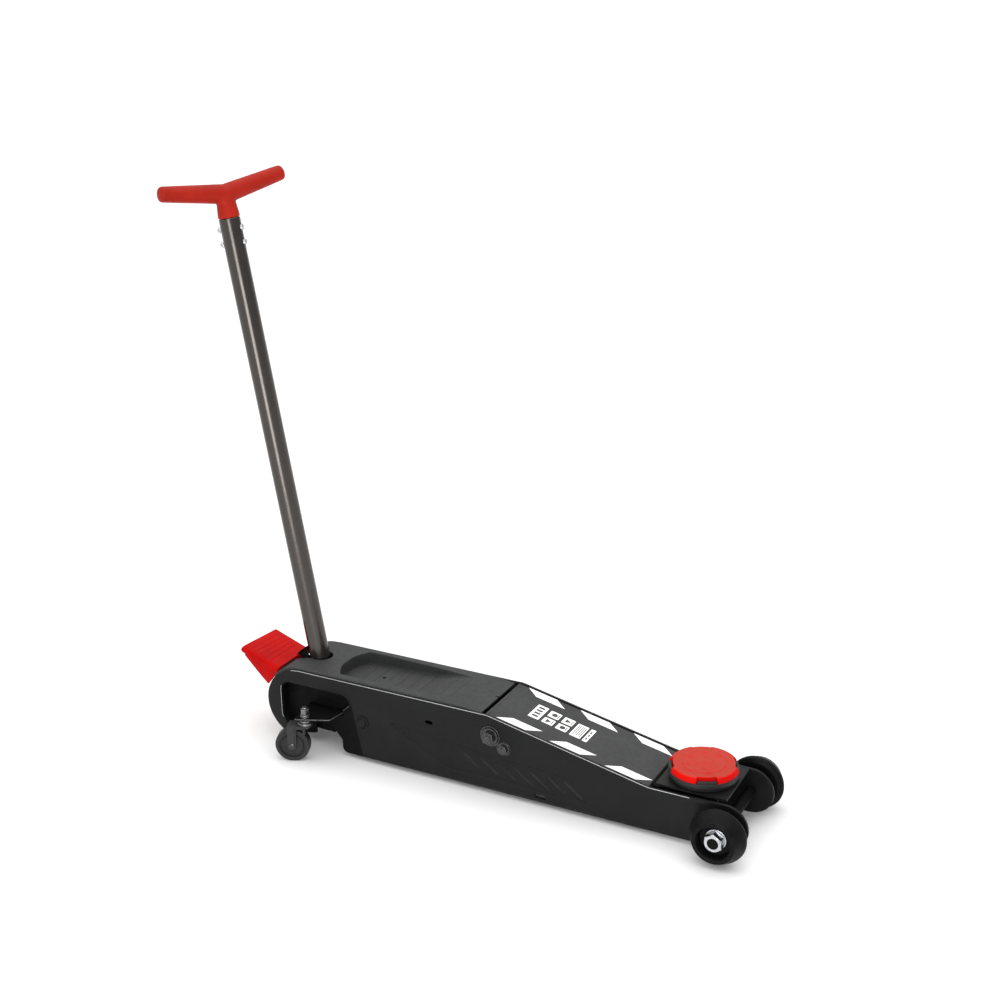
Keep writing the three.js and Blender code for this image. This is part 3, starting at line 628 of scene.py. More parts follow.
def panel_outline():
    """The long panel pressed into the lower flank."""
    return rounded([
        (-539, 79, 4), (-499, 76.5, 20), (-362, 65, 40), (-232, 59, 12), (-204, 32, 4), (-204, 25, 3),
        (-258, 21.5, 30), (-337, 25, 60), (-429, 24, 40),
    ])


def hatch_lines():
    """Slanting creases across the panel, each as its middle line."""
    lines = []
    for i in range(7):
        x = -398 + i * 27
        top = 60.5 - 0.045 * (x + 398)
        drop = 27 - abs(i - 3) * 0.8
        lines.append(((x, top - 5), (x + drop * 0.98, top - 5 - drop * 0.72)))
    return lines


PANEL = panel_outline()
HATCH = hatch_lines()
PANEL_DEPTH = 1.9
PANEL_SLOPE = 1.8
CREASE = 1.4
CREASE_DEPTH = 1.1


def leg_depth(x, z):
    """How far the leg in front of the caster turns inwards."""
    return 2 * smooth(-587 - x, 0, 16) * (1 - smooth(z, 86, 100)) * smooth(x, -700, -650)


def flank_relief(points):
    """How far the flank lies inside its outer face, for (x, z) points."""
    x, z = points[:, 0], points[:, 1]
    leg = leg_depth(x, z)
    nose = 2.4 * smooth(x, -46, -26)
    pressed = np.where(inside(points, PANEL), np.clip(line_distance(points, PANEL) / PANEL_SLOPE, 0, 1), 0)
    depth = leg + nose + PANEL_DEPTH * pressed
    for line in HATCH:
        depth = depth - CREASE_DEPTH * (1 - smooth(line_distance(points, line, closed=False), 0, CREASE))
    return depth


def offset_line(line, gap):
    (ax, az), (bx, bz) = line
    side = Vector((bx - ax, bz - az)).orthogonal().normalized() * gap
    return [(ax + side.x, az + side.y), (bx + side.x, bz + side.y)]


def shrunk(loop, gap):
    """A closed line moved inwards, for the foot of a pressed step."""
    out = []
    count = len(loop)
    for i, p in enumerate(loop):
        ahead = Vector(loop[(i + 1) % count]) - Vector(loop[i - 1])
        normal = Vector((ahead.y, -ahead.x)).normalized()
        out.append(tuple(Vector(p) + normal * gap))
    return out


SHADE_LINE = [(-575, PLATE_BOTTOM + 1), (-593, 90), (-606, 90)]


def in_shade(x, z):
    """The leg in front of the caster, darkened with painted shade."""
    (foot, low), (top, high), _ = SHADE_LINE
    return -640 < x < foot + (top - foot) * (z - low) / (high - low) and z < high


def pressed_sheet(outer, holes, guides, spacing, relief, thickness):
    """A sheet in the XZ plane with relief, its outer face towards +Y at PLATE_OUT."""
    chains = [(outer, True)] + [(h, True) for h in holes] + guides
    points = []
    edges = []
    for chain, closed in chains:
        start = len(points)
        count = len(chain)
        points += [Vector(p) for p in chain]
        links = range(count if closed else count - 1)
        edges += [(start + i, start + (i + 1) % count) for i in links]
    low = np.min(outer, axis=0)
    high = np.max(outer, axis=0)
    field = np.array([
        (x + (row % 2) * spacing / 2, z)
        for row, z in enumerate(np.arange(low[1], high[1], spacing * 0.87))
        for x in np.arange(low[0], high[0], spacing)
    ])
    keep = inside(field, outer)
    for chain, closed in chains:
        keep &= line_distance(field, chain, closed) > spacing * 0.5
    for hole in holes:
        keep &= ~inside(field, hole)
    points += [Vector(p) for p in field[keep]]
    verts, _, faces, *_ = delaunay_2d_cdt(points, edges, [], 1, 1e-4)
    flat = np.array([tuple(v) for v in verts])
    centres = np.array([flat[list(f)].mean(axis=0) for f in faces])
    wanted = inside(centres, outer)
    for hole in holes:
        wanted &= ~inside(centres, hole)
    depth = relief(flat)
    shape = [(x, PLATE_OUT - d, z) for (x, z), d in zip(flat, depth)]
    mesh = new_mesh(shape, [tuple(reversed(f)) for f, w in zip(faces, wanted) if w])
    # faces on the leg take the third look as painted shade
    shade = [in_shade(x, z) for (x, z), w in zip(centres, wanted) if w]
    mesh.polygons.foreach_set("material_index", [2 if dark else 0 for dark in shade])
    bm = bmesh.new()
    bm.from_mesh(mesh)
    bmesh.ops.delete(bm, geom=[v for v in bm.verts if not v.link_faces], context="VERTS")
    bm.to_mesh(mesh)
    bm.free()
    # the cut edges and their rounding take the second look, a painted edge highlight
    sheet = {"thickness": thickness, "offset": -1, "use_even_offset": True, "material_offset_rim": 1}
    limit = math.radians(60)
    edges = {"width": 1.2, "segments": 3, "limit_method": "ANGLE", "angle_limit": limit, "material": 1}
    return with_modifiers(mesh, ("SOLIDIFY", sheet), ("BEVEL", edges))


def round_slot(x, z, length, width):
    r = width / 2
    run = length / 2 - r
    return arc(x + run, z, r, -90, 90, 8) + arc(x - run, z, r, 90, 270, 8)


def recess_wall():
    """The side of the recess, from the plate's pressed edge in to the recess floor."""
    line = [p for p in recess_edge() if p[1] > 76 or p[0] < -650]
    rows = []
    for y in (PLATE_OUT - 2, PLATE_OUT - 6, RECESS_FLOOR):
        rows.append([(x, y - float(leg_depth(x, z)) * (y > 50), z) for x, z in line])
    return with_modifiers(grid(rows), ("SOLIDIFY", {"thickness": 2.2, "offset": 1}))


def add_side_plates():
    slots = [round_slot(-457, 94, 13, 6), round_slot(-275, 18, 19, 7)]
    guides = [(shrunk(PANEL, PANEL_SLOPE), True), (SHADE_LINE, False), (PANEL, True)]
    for line in HATCH:
        guides += [(offset_line(line, gap), False) for gap in (0, CREASE, -CREASE)]
    sheet = pressed_sheet(flank_outline(), slots, guides, 6, flank_relief, PLATE_T)
    wall = recess_wall()
    # the flank's looks: paint, painted edge highlights, and painted shade on the leg
    looks = (PAINT, EDGE, INNER_SHADE)
    for name, side in SIDES:
        plate = other_side(sheet.copy(), side)
        piece(f"flank_{name}", plate, "chassis", looks, [f"side_plate_{name}"], 40)
        piece(f"recess_wall_{name}", other_side(wall.copy(), side), "chassis", INNER_SHADE, (), 40)
        # beads of painted highlight along the plate's top edge and the recess's rear and front edges
        for number, (line, look) in enumerate(zip(highlight_lines(), (RIM, RIM, DIM_RIM))):
            bead = other_side(sweep([(x, PLATE_OUT - drop, z) for x, z, drop in line], RIM_R, 8), side)
            piece(f"edge_highlight_bead_{name}_{number + 1}", bead, "chassis", look, (), 60)


def highlight_lines():
    """Edges with beads of painted highlight, drawn as paint rubbed through to metal: the plate's top and the
    rear and front of the recess.
    """
    inset = RIM_R * 0.75
    top = top_edge(BEND.x + 60) + arc(*REAR, REAR_R, 91, 101, 4)
    rear = [p for p in recess_edge() if p[0] < RECESS["rear"] + 6 and p[1] < RECESS["top"] - 8]
    front = [(-609.5, 77.5), (-603, 83.5), (-597.5, 88.8)]
    return [
        [(x, z - inset, inset) for x, z in top],
        [(x - inset, z, inset) for x, z in rear],
        [(x, z - inset, inset + leg_depth(x, z)) for x, z in front],
    ]


# ---- rear cover with its dome and tool tray ----
COVER_HIGH = span("rear_cover")[1]
COVER_TOP = COVER_HIGH.z
COVER_HALF = COVER_HIGH.y
COVER_FRONT = COVER_HIGH.x
DOME_R = COVER_TOP - REAR[1]
DOME_END = 50                        # degrees past the top
RIM_TURN = 123                       # where the dome's rolled rear edge stands, from straight ahead
TRAY_REAR = -635.6
TRAY_BOW = 0.0085                    # how quickly the rear edge of the mouth curves forward
TRAY_NARROW = 14
TRAY_FRONT = -404
TRAY_CORNER = 18
TRAY_WALL = 1.8
TRAY_GROOVES = [-434 - 21 * i for i in range(9)]
ROLL = (22, 45, 68, 90)               # steps round a folded edge


def tray_half(x):
    """Half width of the tray's mouth."""
    wide = np.interp(x, [-574, -501, -434, TRAY_FRONT], [43.5, 41.5, 36.5, 32])
    bowed = np.sqrt(max(x - TRAY_REAR + 0.9, 0) / TRAY_BOW)
    return max(TRAY_NARROW, min(wide, bowed))


def tray_floor(x):
    """Depth of the tray's floor under the cover's top."""
    places = [-640, -600, -526, -497, -477, -455, -434, TRAY_FRONT]
    return float(np.interp(x, places, [18.6, 18, 14.6, 12, 7.8, 3.6, 0.7, 0]))


def tray_depth(x, y):
    if not TRAY_REAR < x < TRAY_FRONT:
        return 0.0
    side = (tray_half(x) - abs(y)) / TRAY_WALL
    back = (x - TRAY_REAR) / TRAY_WALL
    floor = tray_floor(x)
    depth = floor * float(smooth(min(side, back), 0, 1))
    if side > 1.6 and x > TRAY_REAR + TRAY_WALL:
        for groove in TRAY_GROOVES:
            off = abs(x - groove)
            if off < 0.9:
                depth += 0.75 * (1 - off / 0.9)
    return depth


def cover_line():
    """Stations along the cover's top, front to rear, as (x, z, slope angle)."""
    stations = []
    xs = set(np.arange(COVER_FRONT, REAR[0], -2.4))
    xs |= set(np.arange(TRAY_REAR - 1, TRAY_REAR + TRAY_CORNER + 1, 0.5))
    for groove in TRAY_GROOVES:
        xs |= {groove - 0.9, groove - 0.45, groove, groove + 0.45, groove + 0.9}
    for x in sorted(xs, reverse=True):
        drop = 3.0 * (1 - float(smooth(-x, -COVER_FRONT, 402)))
        stations.append((x, COVER_TOP - drop, 90.0))
    for i in range(19):
        a = 90 + (DOME_END * i / 18)
        stations.append((*polar(*REAR, DOME_R, a), a))
    return stations


def cover_across(x):
    """Points across the cover as (y, drop), following the tray's walls."""
    mouth = float(tray_half(min(max(x, TRAY_REAR + 0.1), TRAY_FRONT)))
    inner = [(mouth - 5.5) * t for t in np.linspace(0, 1, 14)]
    wall = [mouth - off for off in (4.5, 3.4, 2.8, 2.3, 1.9, 1.6, 1.3, 1.0, 0.7, 0.4, 0.15, -0.1)]
    half = inner + wall
    edge = 3.0
    land = np.linspace(mouth + 1, COVER_HALF - edge, 5)
    top = [(y, 0.0) for y in [*half, *land]]
    return top + rolled_edge(COVER_HALF, edge, ROLL) + [(COVER_HALF, edge + 5), (COVER_HALF, 15)]


def rear_cover_mesh():
    rows = []
    for x, z, a in cover_line():
        across = cover_across(x)
        out = Vector(polar(0, 0, 1, a))
        row = both_ways([(y, drop + tray_depth(x, y)) for y, drop in across])
        rows.append([(x - out.x * d, y, z - out.y * d) for y, d in row])
    return outward(grid(rows))


def cover_cutter():
    """What is cut out of the cover: the handle's slot and a small notch at the front edge."""
    half = 17
    front = -665
    slot = arc(front - half, 0, half, -90, 90, 20) + [(-780, half), (-780, -half)]
    notch = [(COVER_FRONT + 3, -3), (COVER_FRONT - 7, 0), (COVER_FRONT + 3, 4)]
    drain = arc(-572, 4, 3.2, 0, 340, 17)
    return joined(*(
        slab([loop], low, high, 0.01, 0, "XY") for loop, low, high in (
            (slot, 60, 160), (notch, 110, 140), (drain, 100, 125),
        )
    ))


def add_rear_cover():
    shell = with_modifiers(rear_cover_mesh(), ("SOLIDIFY", {"thickness": 2.4, "offset": -1}))
    shell = cut(shell, cover_cutter())
    piece("rear_cover_skin", shell, "chassis", COVER, ["rear_cover"], 45)
    # a dark bar along the dome's rolled rear edge, as painted shade under that edge
    x, z = polar(*REAR, DOME_R + 0.5, RIM_TURN)
    for name, side in SIDES:
        rim = sweep([(x, y, z) for y in np.linspace(17.5, COVER_HALF - 2, 12)], 1.4, 10)
        piece(f"dome_shade_rim_{name}", other_side(rim, side), "chassis", INNER_SHADE, (), 60)


# ---- arm cover and its printed marks ----
ARM_COVER_LOW, ARM_COVER_HIGH = span("arm_cover")
ARM_HALF = ARM_COVER_HIGH.y
ARM_SHEET = 2.2


def arm_cover_mesh():
    front = (ARM_COVER_HIGH.x - KNEE.x) / SLOPE.x
    knee_flat = KNEE.x - ARM_COVER_LOW.x
    profile = rounded([
        (-knee_flat, -6), (-knee_flat, 0, 1.2), (0, 0, 24), (front * SLOPE.x, front * SLOPE.z, 1.6),
        (front * SLOPE.x, front * SLOPE.z - 10),
    ], closed=False, steps=6)
    dense = []
    for (ax, az), (bx, bz) in zip(profile, profile[1:]):
        count = max(1, int(math.hypot(bx - ax, bz - az) / 8))
        dense += [(ax + (bx - ax) * i / count, az + (bz - az) * i / count) for i in range(count)]
    dense.append(profile[-1])
    across = [(y, 0.0) for y in np.linspace(0, ARM_HALF - ARM_SHEET, 12)]
    across += rolled_edge(ARM_HALF, ARM_SHEET, (30, 60, 90)) + [(ARM_HALF, 11)]
    rows = [[(KNEE.x + x, y, KNEE.z - 0.5 + z - d) for y, d in both_ways(across)] for x, z in dense]
    return with_modifiers(outward(grid(rows)), ("SOLIDIFY", {"thickness": ARM_SHEET, "offset": -1}))


def sticker(name, outline, look, low=0.02, high=0.2):
    """A thin printed shape on the arm cover, its outline as (s, y) pairs."""
    mesh = slab([outline], low, high, 0.04, 0, "XY")
    slope_axes = Matrix.Identity(4)
    axes = (SLOPE, Vector((0, 1, 0)), SLOPE.cross(Vector((0, 1, 0))), Vector((KNEE.x, 0, KNEE.z - 0.5)))
    for column, axis in zip(slope_axes.col, axes):
        column[:3] = axis
    return piece(name, moved(mesh, slope_axes), "lift_arm", look)


def oblong(s0, s1, y0, y1, r=1.2):
    return rounded([(s0, y0, r), (s1, y0, r), (s1, y1, r), (s0, y1, r)], steps=3)


def add_arm_cover():
    piece("arm_cover_skin", arm_cover_mesh(), "lift_arm", COVER, ["arm_cover"], 40)
    pitch = 86.8
    outer, inner = 52.3, 37.5
    for name, side in SIDES:
        for i in range(3):
            s = i * pitch
            mark = [(s + 12, outer), (s + 60, outer), (s + 80, inner), (s + 32, inner)]
            sticker(f"edge_mark_{name}_{i + 1}", [(a, side * y) for a, y in mark], WHITE)
    plates = {
        "a": (44.6, 62, -16, 22), "b_left": (67, 84.8, 3.6, 20.4), "b_right": (66.6, 84.4, -16, -1),
        "c_left": (90, 107.4, 2.8, 19.6), "c_right": (89.6, 107.2, -17, -1.5),
        "d": (112.6, 130, -17.6, 18), "e": (133.6, 141.2, -18.6, 18),
    }
    for name, (s0, s1, y0, y1) in plates.items():
        sticker(f"label_{name}", oblong(s0, s1, y0, y1), WHITE)
    add_label_marks()


def add_label_marks():
    """Plain bars and dots on the labels, standing for nothing in particular."""
    for i in range(4):
        sticker(f"label_bar_a_{i + 1}", oblong(48.5, 58, -11 + i * 8, -6.6 + i * 8, 0.8), INK, 0.1, 0.3)
    for i in range(5):
        s = 115.5 + i * 2.9
        sticker(f"label_rule_d_{i + 1}", oblong(s, s + 1.0, -13.5 + (i % 2) * 3, 14, 0.3), INK, 0.1, 0.3)
    for i in range(3):
        sticker(f"label_bar_e_{i + 1}", oblong(136.2, 138.4, -13 + i * 9, -7 + i * 9, 0.4), INK, 0.1, 0.3)
    spots = {"b_left": (76, 12), "b_right": (75.5, -8.5), "c_left": (98.6, 11), "c_right": (98.4, -9)}
    for name, (s, y) in spots.items():
        wedge = [(s - 4.2, y - 4.6), (s + 4.4, y), (s - 4.2, y + 4.6)]
        dot = arc(s, y, 4.3, 0, 342, 19)
        sticker(f"label_shape_{name}", dot if name in ("b_left", "c_right") else wedge, INK, 0.1, 0.3)
        sticker(f"label_line_{name}", oblong(s + 5.4, s + 6.6, y - 5, y + 5, 0.3), INK, 0.1, 0.3)


# ---- front wheels, their nuts and the axle ----
WHEEL_IN = 73
WHEEL_OUT = span("front_wheel_left")[1].y
HUB_IN = span("front_wheel_left")[0].y


NUT_OUT = 101.3                      # the axle nut's outer face
NUT_FLATS = 24


def wheel_profile():
    r = WHEEL_R
    back, face = WHEEL_IN, WHEEL_OUT
    tread = rounded([
        (13, back), (r - 7.6, back, 0.8), (r - 6.2, back + 0.4, 0.8), (r - 1.4, back + 2.8, 3),
        (r, back + 6.5, 5), (r - 1.6, back + 11.5, 6), (r - 4.4, face - 12, 8), (r - 8.4, face - 4, 2),
        (r - 8.9, face - 3.4, 0.5), (r - 10.3, face, 1.6), (24.8, face, 1.2), (23.6, face - 2.5, 2),
        (22.8, 87, 1.5), (16, 86, 2), (8.4, 86),
    ], closed=False, steps=5)
    return [(8.4, HUB_IN), (13, HUB_IN)] + tread


def nut_mesh(y0, y1, flats, thread_r, thread_y):
    """A chamfered hexagon nut with its thread end, about local Z."""
    corner = flats / math.sqrt(3)
    body = slab([hexagon(corner)], y0, y1, 0.5, 1, "XY")
    shoulder = (corner + 2, y1 - corner * 0.22 - 0.2)
    low, high = y0 - 1, y1 + 0.2
    cone = lathe([(0, low), (corner + 2, low), shoulder, (flats / 2 - 0.6, high), (0, high)], 48)
    r, end = thread_r, thread_y
    thread = lathe([(0, y0), (r, y0), (r, end - 1), (r - 1.2, end), (0, end)], 32)
    return joined(cut(body, cone, "INTERSECT"), thread)


def add_front_wheels():
    wheel = lathe(wheel_profile(), 96, closed=True)
    nut = nut_mesh(89.3, NUT_OUT, NUT_FLATS, 7.6, NUT_OUT + 1.5)
    nut = moved(nut, Matrix.Rotation(math.radians(30), 4, "Z"))
    ring = [(8.4, 86.3), (15, 86.3, 0.4), (15, 89, 0.6), (8.4, 89)]
    washer = lathe(rounded(ring, steps=3), 64, closed=True)
    paired([
        ("front_wheel", along_y(wheel, 0, WHEEL_R), "wheel_{}", NYLON, "wheel_black"),
        ("axle_nut", along_y(nut, 0, WHEEL_R), "chassis", ZINC, "zinc"),
        ("axle_washer", along_y(washer, 0, WHEEL_R), "chassis", ZINC, "zinc"),
    ])
    half = span("front_axle")[1].y
    ends = [(0, half), (6.5, half), (8, half - 1.5), (8, 62)]
    bar = lathe([(r, -y) for r, y in ends] + ends[::-1], 48)
    piece("front_axle_bar", along_y(bar, 0, WHEEL_R), "chassis", INNER_SHADE, ["front_axle"], 35)


# ---- saddle ----
CUP_LOW, CUP_HIGH = span("saddle_cup")
PAD_LOW, PAD_HIGH = span("saddle_pad")
CUP_R = CUP_HIGH.y
CUP_TOP = 91.5
PAD_R = 45.5
SKIRT_R = (PAD_HIGH.x - PAD_LOW.x) / 2
PAD_TOP = PAD_HIGH.z
TABS = 4
TAB_START = 25.5
TAB_WIDTH = 28
TAB_TOP = 95.4
TAB_HALF = math.degrees(math.asin(TAB_WIDTH / 2 / SKIRT_R))
NOTCH_R = PAD_R - 2.4                # how far out the pad still reaches where a tab stands


def tab_angle(i):
    return TAB_START + i * 360 / TABS


def pad_mesh():
    """The red pad: a cap with faint rings whose skirt is raised over each tab of the cup."""
    segments = 360
    top = [
        (0.01, 0.35), (8, 0.35), (16, 0.3), (20, 0.3), (20.8, 0.0), (30.2, 0.0), (30.9, 0.5), (32.2, 0.5),
        (33, 0.1),
        (PAD_R - 4.5, 0.0), (PAD_R - 3.6, -0.3), (PAD_R - 2.6, 0.0), (PAD_R - 1, 0.1), (PAD_R + 0.4, 0.7),
    ]
    profile = [(r, PAD_TOP - drop) for r, drop in top]
    skirt_foot = CUP_TOP + 0.3
    profile += [(PAD_R + 1.4, PAD_TOP - 1.9), (SKIRT_R - 0.3, PAD_TOP - 4.6), (SKIRT_R, PAD_TOP - 6)]
    profile += [(SKIRT_R, skirt_foot), (PAD_R - 0.3, skirt_foot - 0.1), (PAD_R - 0.3, 82.6)]
    rows = []
    for r, z in profile:
        row = []
        for i in range(segments):
            a = 360 * i / segments
            off = min(abs((a - tab_angle(t) + 180) % 360 - 180) for t in range(TABS))
            notch = 1 - float(smooth(off, TAB_HALF - 0.2, TAB_HALF + 1.2))
            height = z
            if r > PAD_R and z < TAB_TOP + 0.4:
                height = z + (TAB_TOP + 0.5 - z) * notch
            reach = r - max(0, r - NOTCH_R) * notch
            row.append((*polar(SADDLE.x, 0, reach, a), height))
        rows.append(row)
    return capped(grid(rows, ring=True))


def cup_mesh():
    """The cast cup: a tapering bowl, a plain rim and four low tabs that key into the pad."""
    segments = 144
    base = CUP_R - 2.8
    low = SADDLE.z
    outer = rounded([
        (0.01, low + 0.4), (base - 8, low + 0.4, 1), (base, low + 1.2, 1.5), (CUP_R - 1, 84, 2),
        (CUP_R, 85.4, 1.0), (CUP_R, CUP_TOP, 0.9), (PAD_R + 0.7, CUP_TOP, 0.4), (PAD_R + 0.7, 82.2),
        (0.01, 82.2),
    ], closed=False, steps=4)
    half = TAB_HALF - 1
    loop = arc(0, 0, CUP_R - 0.9, -half, half, 14) + arc(0, 0, PAD_R - 1.0, half, -half, 14)
    shapes = [lathe(outer, segments)]
    for i in range(TABS):
        tab = slab([loop], CUP_TOP - 4, TAB_TOP, 0.6, 2, "XY")
        shapes.append(moved(tab, Matrix.Rotation(math.radians(tab_angle(i)), 4, "Z")))
    shapes.append(lathe([(0, CUP_LOW.z), (14.8, CUP_LOW.z), (14.8, low + 1), (0, low + 1)], 48))
    return moved(joined(*shapes), Matrix.Translation((SADDLE.x, 0, 0)))


def add_saddle():
    piece("saddle_pad_moulded", pad_mesh(), "saddle", PAD, ["saddle_pad"], 32)
    piece("saddle_cup_cast", cup_mesh(), "saddle", CUP, ["saddle_cup"], 35)


# ---- casters ----
CASTER_STEM = FROM_ROW @ Vector(joint("caster_swivel_left")["pos_m"])
CASTER_HUB = FROM_ROW @ Vector(joint("caster_roll_left")["pos_m"])
CASTER_R = CASTER_HUB.z
CASTER_ARM = CASTER_HUB - CASTER_STEM
CASTER_TRAIL = math.hypot(CASTER_ARM.x, CASTER_ARM.y)
CASTER_SWIVEL = math.atan2(CASTER_ARM.y, -CASTER_ARM.x)
CASTER_HALF = 7.5                    # half the width of the roller
FORK_TOP = span("caster_fork_left")[1].z
FORK_T = 2.5
SHELF_LOW, SHELF_TOP = 68.8, 72.0
STEM_R = 4.5


def caster_wheel_mesh():
    half = CASTER_HALF
    r = CASTER_R
    face = [(3.4, half), (7.5, half, 0.8), (9, half - 1.2, 0.8), (16.4, half - 1, 0.6), (17, half - 3, 0.5),
            (19.6, half - 3, 0.5), (20.2, half, 0.5), (r - 0.9, half, 0.8), (r, half - 1.2, 1)]
    back = [(x, -y, *rest) for x, y, *rest in reversed(face)]
    wheel = lathe(rounded(face + back, steps=4), 80, closed=True)
    return along_y(wheel, -CASTER_TRAIL, CASTER_R, 0)


def caster_fork_mesh():
    """A pressed fork: two legs under a round-fronted top, each leg with a raised rib and a folded front."""
    x = -CASTER_TRAIL
    inner = CASTER_HALF + 1
    top = FORK_TOP
    low = CASTER_R - 6.5
    leg = rounded([
        (x - 6.5, top - 0.4, 1), (x - 6.5, low, 6.3), (x + 6.5, low, 6.3), (x + 7.5, 34, 5),
        (x + 8, top - 5, 1.5), (x + 17.5, top - 5, 1.5), (x + 17.5, 44, 1), (x + 22, 47, 2),
        (x + 22.6, top - 0.4, 1),
    ])
    foot = CASTER_R + 4
    rib = rounded([(x - 6, top - 1.5, 1), (x - 6, foot, 2), (x + 4.5, foot, 2), (x + 5, top - 1.5, 1)])
    fold = rounded([(x + 18, top - 3, 1), (x + 18, 46.5, 1), (x + 21.4, 48.5, 1), (x + 22, top - 3, 1)])
    reach = inner + FORK_T
    roof = [(x - 6.5, -reach)] + arc(0, 0, reach, -90, 90, 16) + [(x - 6.5, reach)]
    shapes = [slab([roof], top - FORK_T, top, 0.8, 2, "XY")]
    for side in (1, -1):
        shapes.append(slab([leg], *sorted((side * inner, side * reach)), 0.8, 2))
        raised = sorted((side * (reach - 1), side * (reach + 1)))
        shapes += [slab([shape], *raised, 0.7, 2) for shape in (rib, fold)]
    return joined(*shapes)


def shelf_line():
    """The shelf's free edge, from its rear corner to the top of the leg."""
    return rounded([(-677, 46), (-668, 105.2, 4), (-617.2, 83, 4), (-611.8, 46)], closed=False, steps=7)


def caster_shelf_mesh():
    outline = [(-678, 42)] + shelf_line() + [(-612, 42)]
    hole = arc(CASTER_STEM.x, CASTER_STEM.y, STEM_R + 0.4, 0, 342, 19)
    return slab([outline, hole], SHELF_LOW, SHELF_TOP, 0.7, 2, "XY")


def recess_floor_mesh():
    outline = rounded([
        (-742, 92, 8), (-722, 115.5, 6), (-640, 115.5, 4), (-630, 107, 3), (-591, 107, 3), (-591, 74, 4),
        (-604, 60, 4), (-641, 45, 3), (-668.5, 38, 2),
    ])
    outline += arc(*REAR, 53.8, -68, -157, 20)
    trunnion = arc(HANDLE_PIVOT.x, HANDLE_PIVOT.z, 6.5, 0, 342, 19)
    pin = arc(PEDAL_PIVOT.x, PEDAL_PIVOT.z, 4.5, 0, 340, 17)
    return slab([outline, trunnion, pin], RECESS_FLOOR - 3, RECESS_FLOOR, 0.6, 1)


def ring(inner, outer, low, high, edge, segments):
    """A washer with rounded outer edges, about local Z."""
    corners = [(inner, low), (outer, low, edge), (outer, high, edge), (inner, high)]
    return lathe(rounded(corners, steps=3), segments, closed=True)


def stem_mesh():
    """Stem, washers and nut of a caster, about its own axis."""
    nut = slab([hexagon(6.8, 10)], 77.2, 86, 0.7, 2, "XY")
    washers = [ring(STEM_R, 7.6, 72.3, 74.2, 0.4, 48), ring(STEM_R, 6.9, 74.4, 77, 0.4, 48)]
    thread = [(0, FORK_TOP - 5)]
    for i in range(22):
        thread += [(4.4, FORK_TOP - 4.8 + i * 1.5), (3.9, FORK_TOP - 4.05 + i * 1.5)]
    thread += [(3.6, 88.6), (0, 88.9)]
    foot = [(0, FORK_TOP - 5.2), (6.4, FORK_TOP - 5.2), (6.4, FORK_TOP - 2.8), (0, FORK_TOP - 2.8)]
    return joined(nut, *washers, lathe(thread, 32), lathe(foot, 40))


def add_casters():
    wheel, fork, stem = caster_wheel_mesh(), caster_fork_mesh(), stem_mesh()
    bulge = rounded([(5, 60.4), (11, 60.4, 0.8), (12, 62.4, 1), (11, 64.4, 0.8), (5, 64.4)], steps=3)
    race = joined(lathe(bulge, 56, closed=True), ring(5, 9.5, 64.6, 68.4, 0.6, 56))
    half = CASTER_HALF + 4.3
    pin = lathe([(0, -half), (2.9, -half), (2.9, half), (0, half)], 32)
    low = half - 0.4
    button = [(0, 0), (5.4, 0), (5.2, 0.7), (4.2, 1.3), (2.4, 1.55), (0, 1.6)]
    dome = lathe([(r, low + h) for r, h in button], 40)
    axle = along_y(joined(pin, dome), -CASTER_TRAIL, CASTER_R, 0)
    stand = Matrix.Translation((CASTER_STEM.x, CASTER_STEM.y, 0)) @ Matrix.Rotation(-CASTER_SWIVEL, 4, "Z")
    for mesh in (wheel, fork, stem, race, axle):
        moved(mesh, stand)
    bracket = joined(recess_floor_mesh(), caster_shelf_mesh())
    paired([
        ("caster_wheel", wheel, "caster_roller_{}", ROLLER, "wheel_black"),
        ("caster_fork", fork, "caster_{}", FORK, "inner_steel"),
        ("caster_axle", axle, "caster_{}", BOLT, "inner_steel"),
        ("caster_stem", stem, "chassis", STEEL, "zinc"),
        ("caster_race", race, "chassis", STEEL, "zinc"),
        ("caster_bracket", bracket, "chassis", INNER_SHADE, "inner_steel"),
    ], 40)
    # a bead of painted highlight along the shelf's free edge
    bead = sweep([(x, y, SHELF_TOP - 0.6) for x, y in shelf_line()[5:]], 0.8, 8)
    for name, side in SIDES:
        piece(f"shelf_edge_highlight_{name}", other_side(bead.copy(), side), "chassis", DIM_RIM, (), 60)


# ---- bolts on the flanks ----
def bolt_stack(flats, washer_r, low, washer_t, head, dish):
    """Dished ring, washer, hexagon head and a small domed end, about local Z."""
    seat = low + washer_t
    top = seat + head
    r = washer_r
    washer = rounded([(0.01, low), (r, low, 0.5), (r, seat, 0.6), (0.01, seat)], closed=False, steps=3)
    rim = rounded([
        (r + 0.5, low), (r + dish, low, 0.4), (r + dish - 1, low + 1.1, 0.5), (r + 0.8, low + 0.8),
    ], steps=3)
    wide, narrow = flats * 0.3, flats * 0.2
    return joined(
        lathe(washer, 56),
        lathe(rim, 64, closed=True),
        slab([hexagon(flats / math.sqrt(3), 15)], seat, top, 0.8, 2, "XY"),
        lathe([(0, top - 1), (wide, top - 1), (wide, top + 0.9), (narrow, top + 1.5), (0, top + 1.6)], 32),
    )


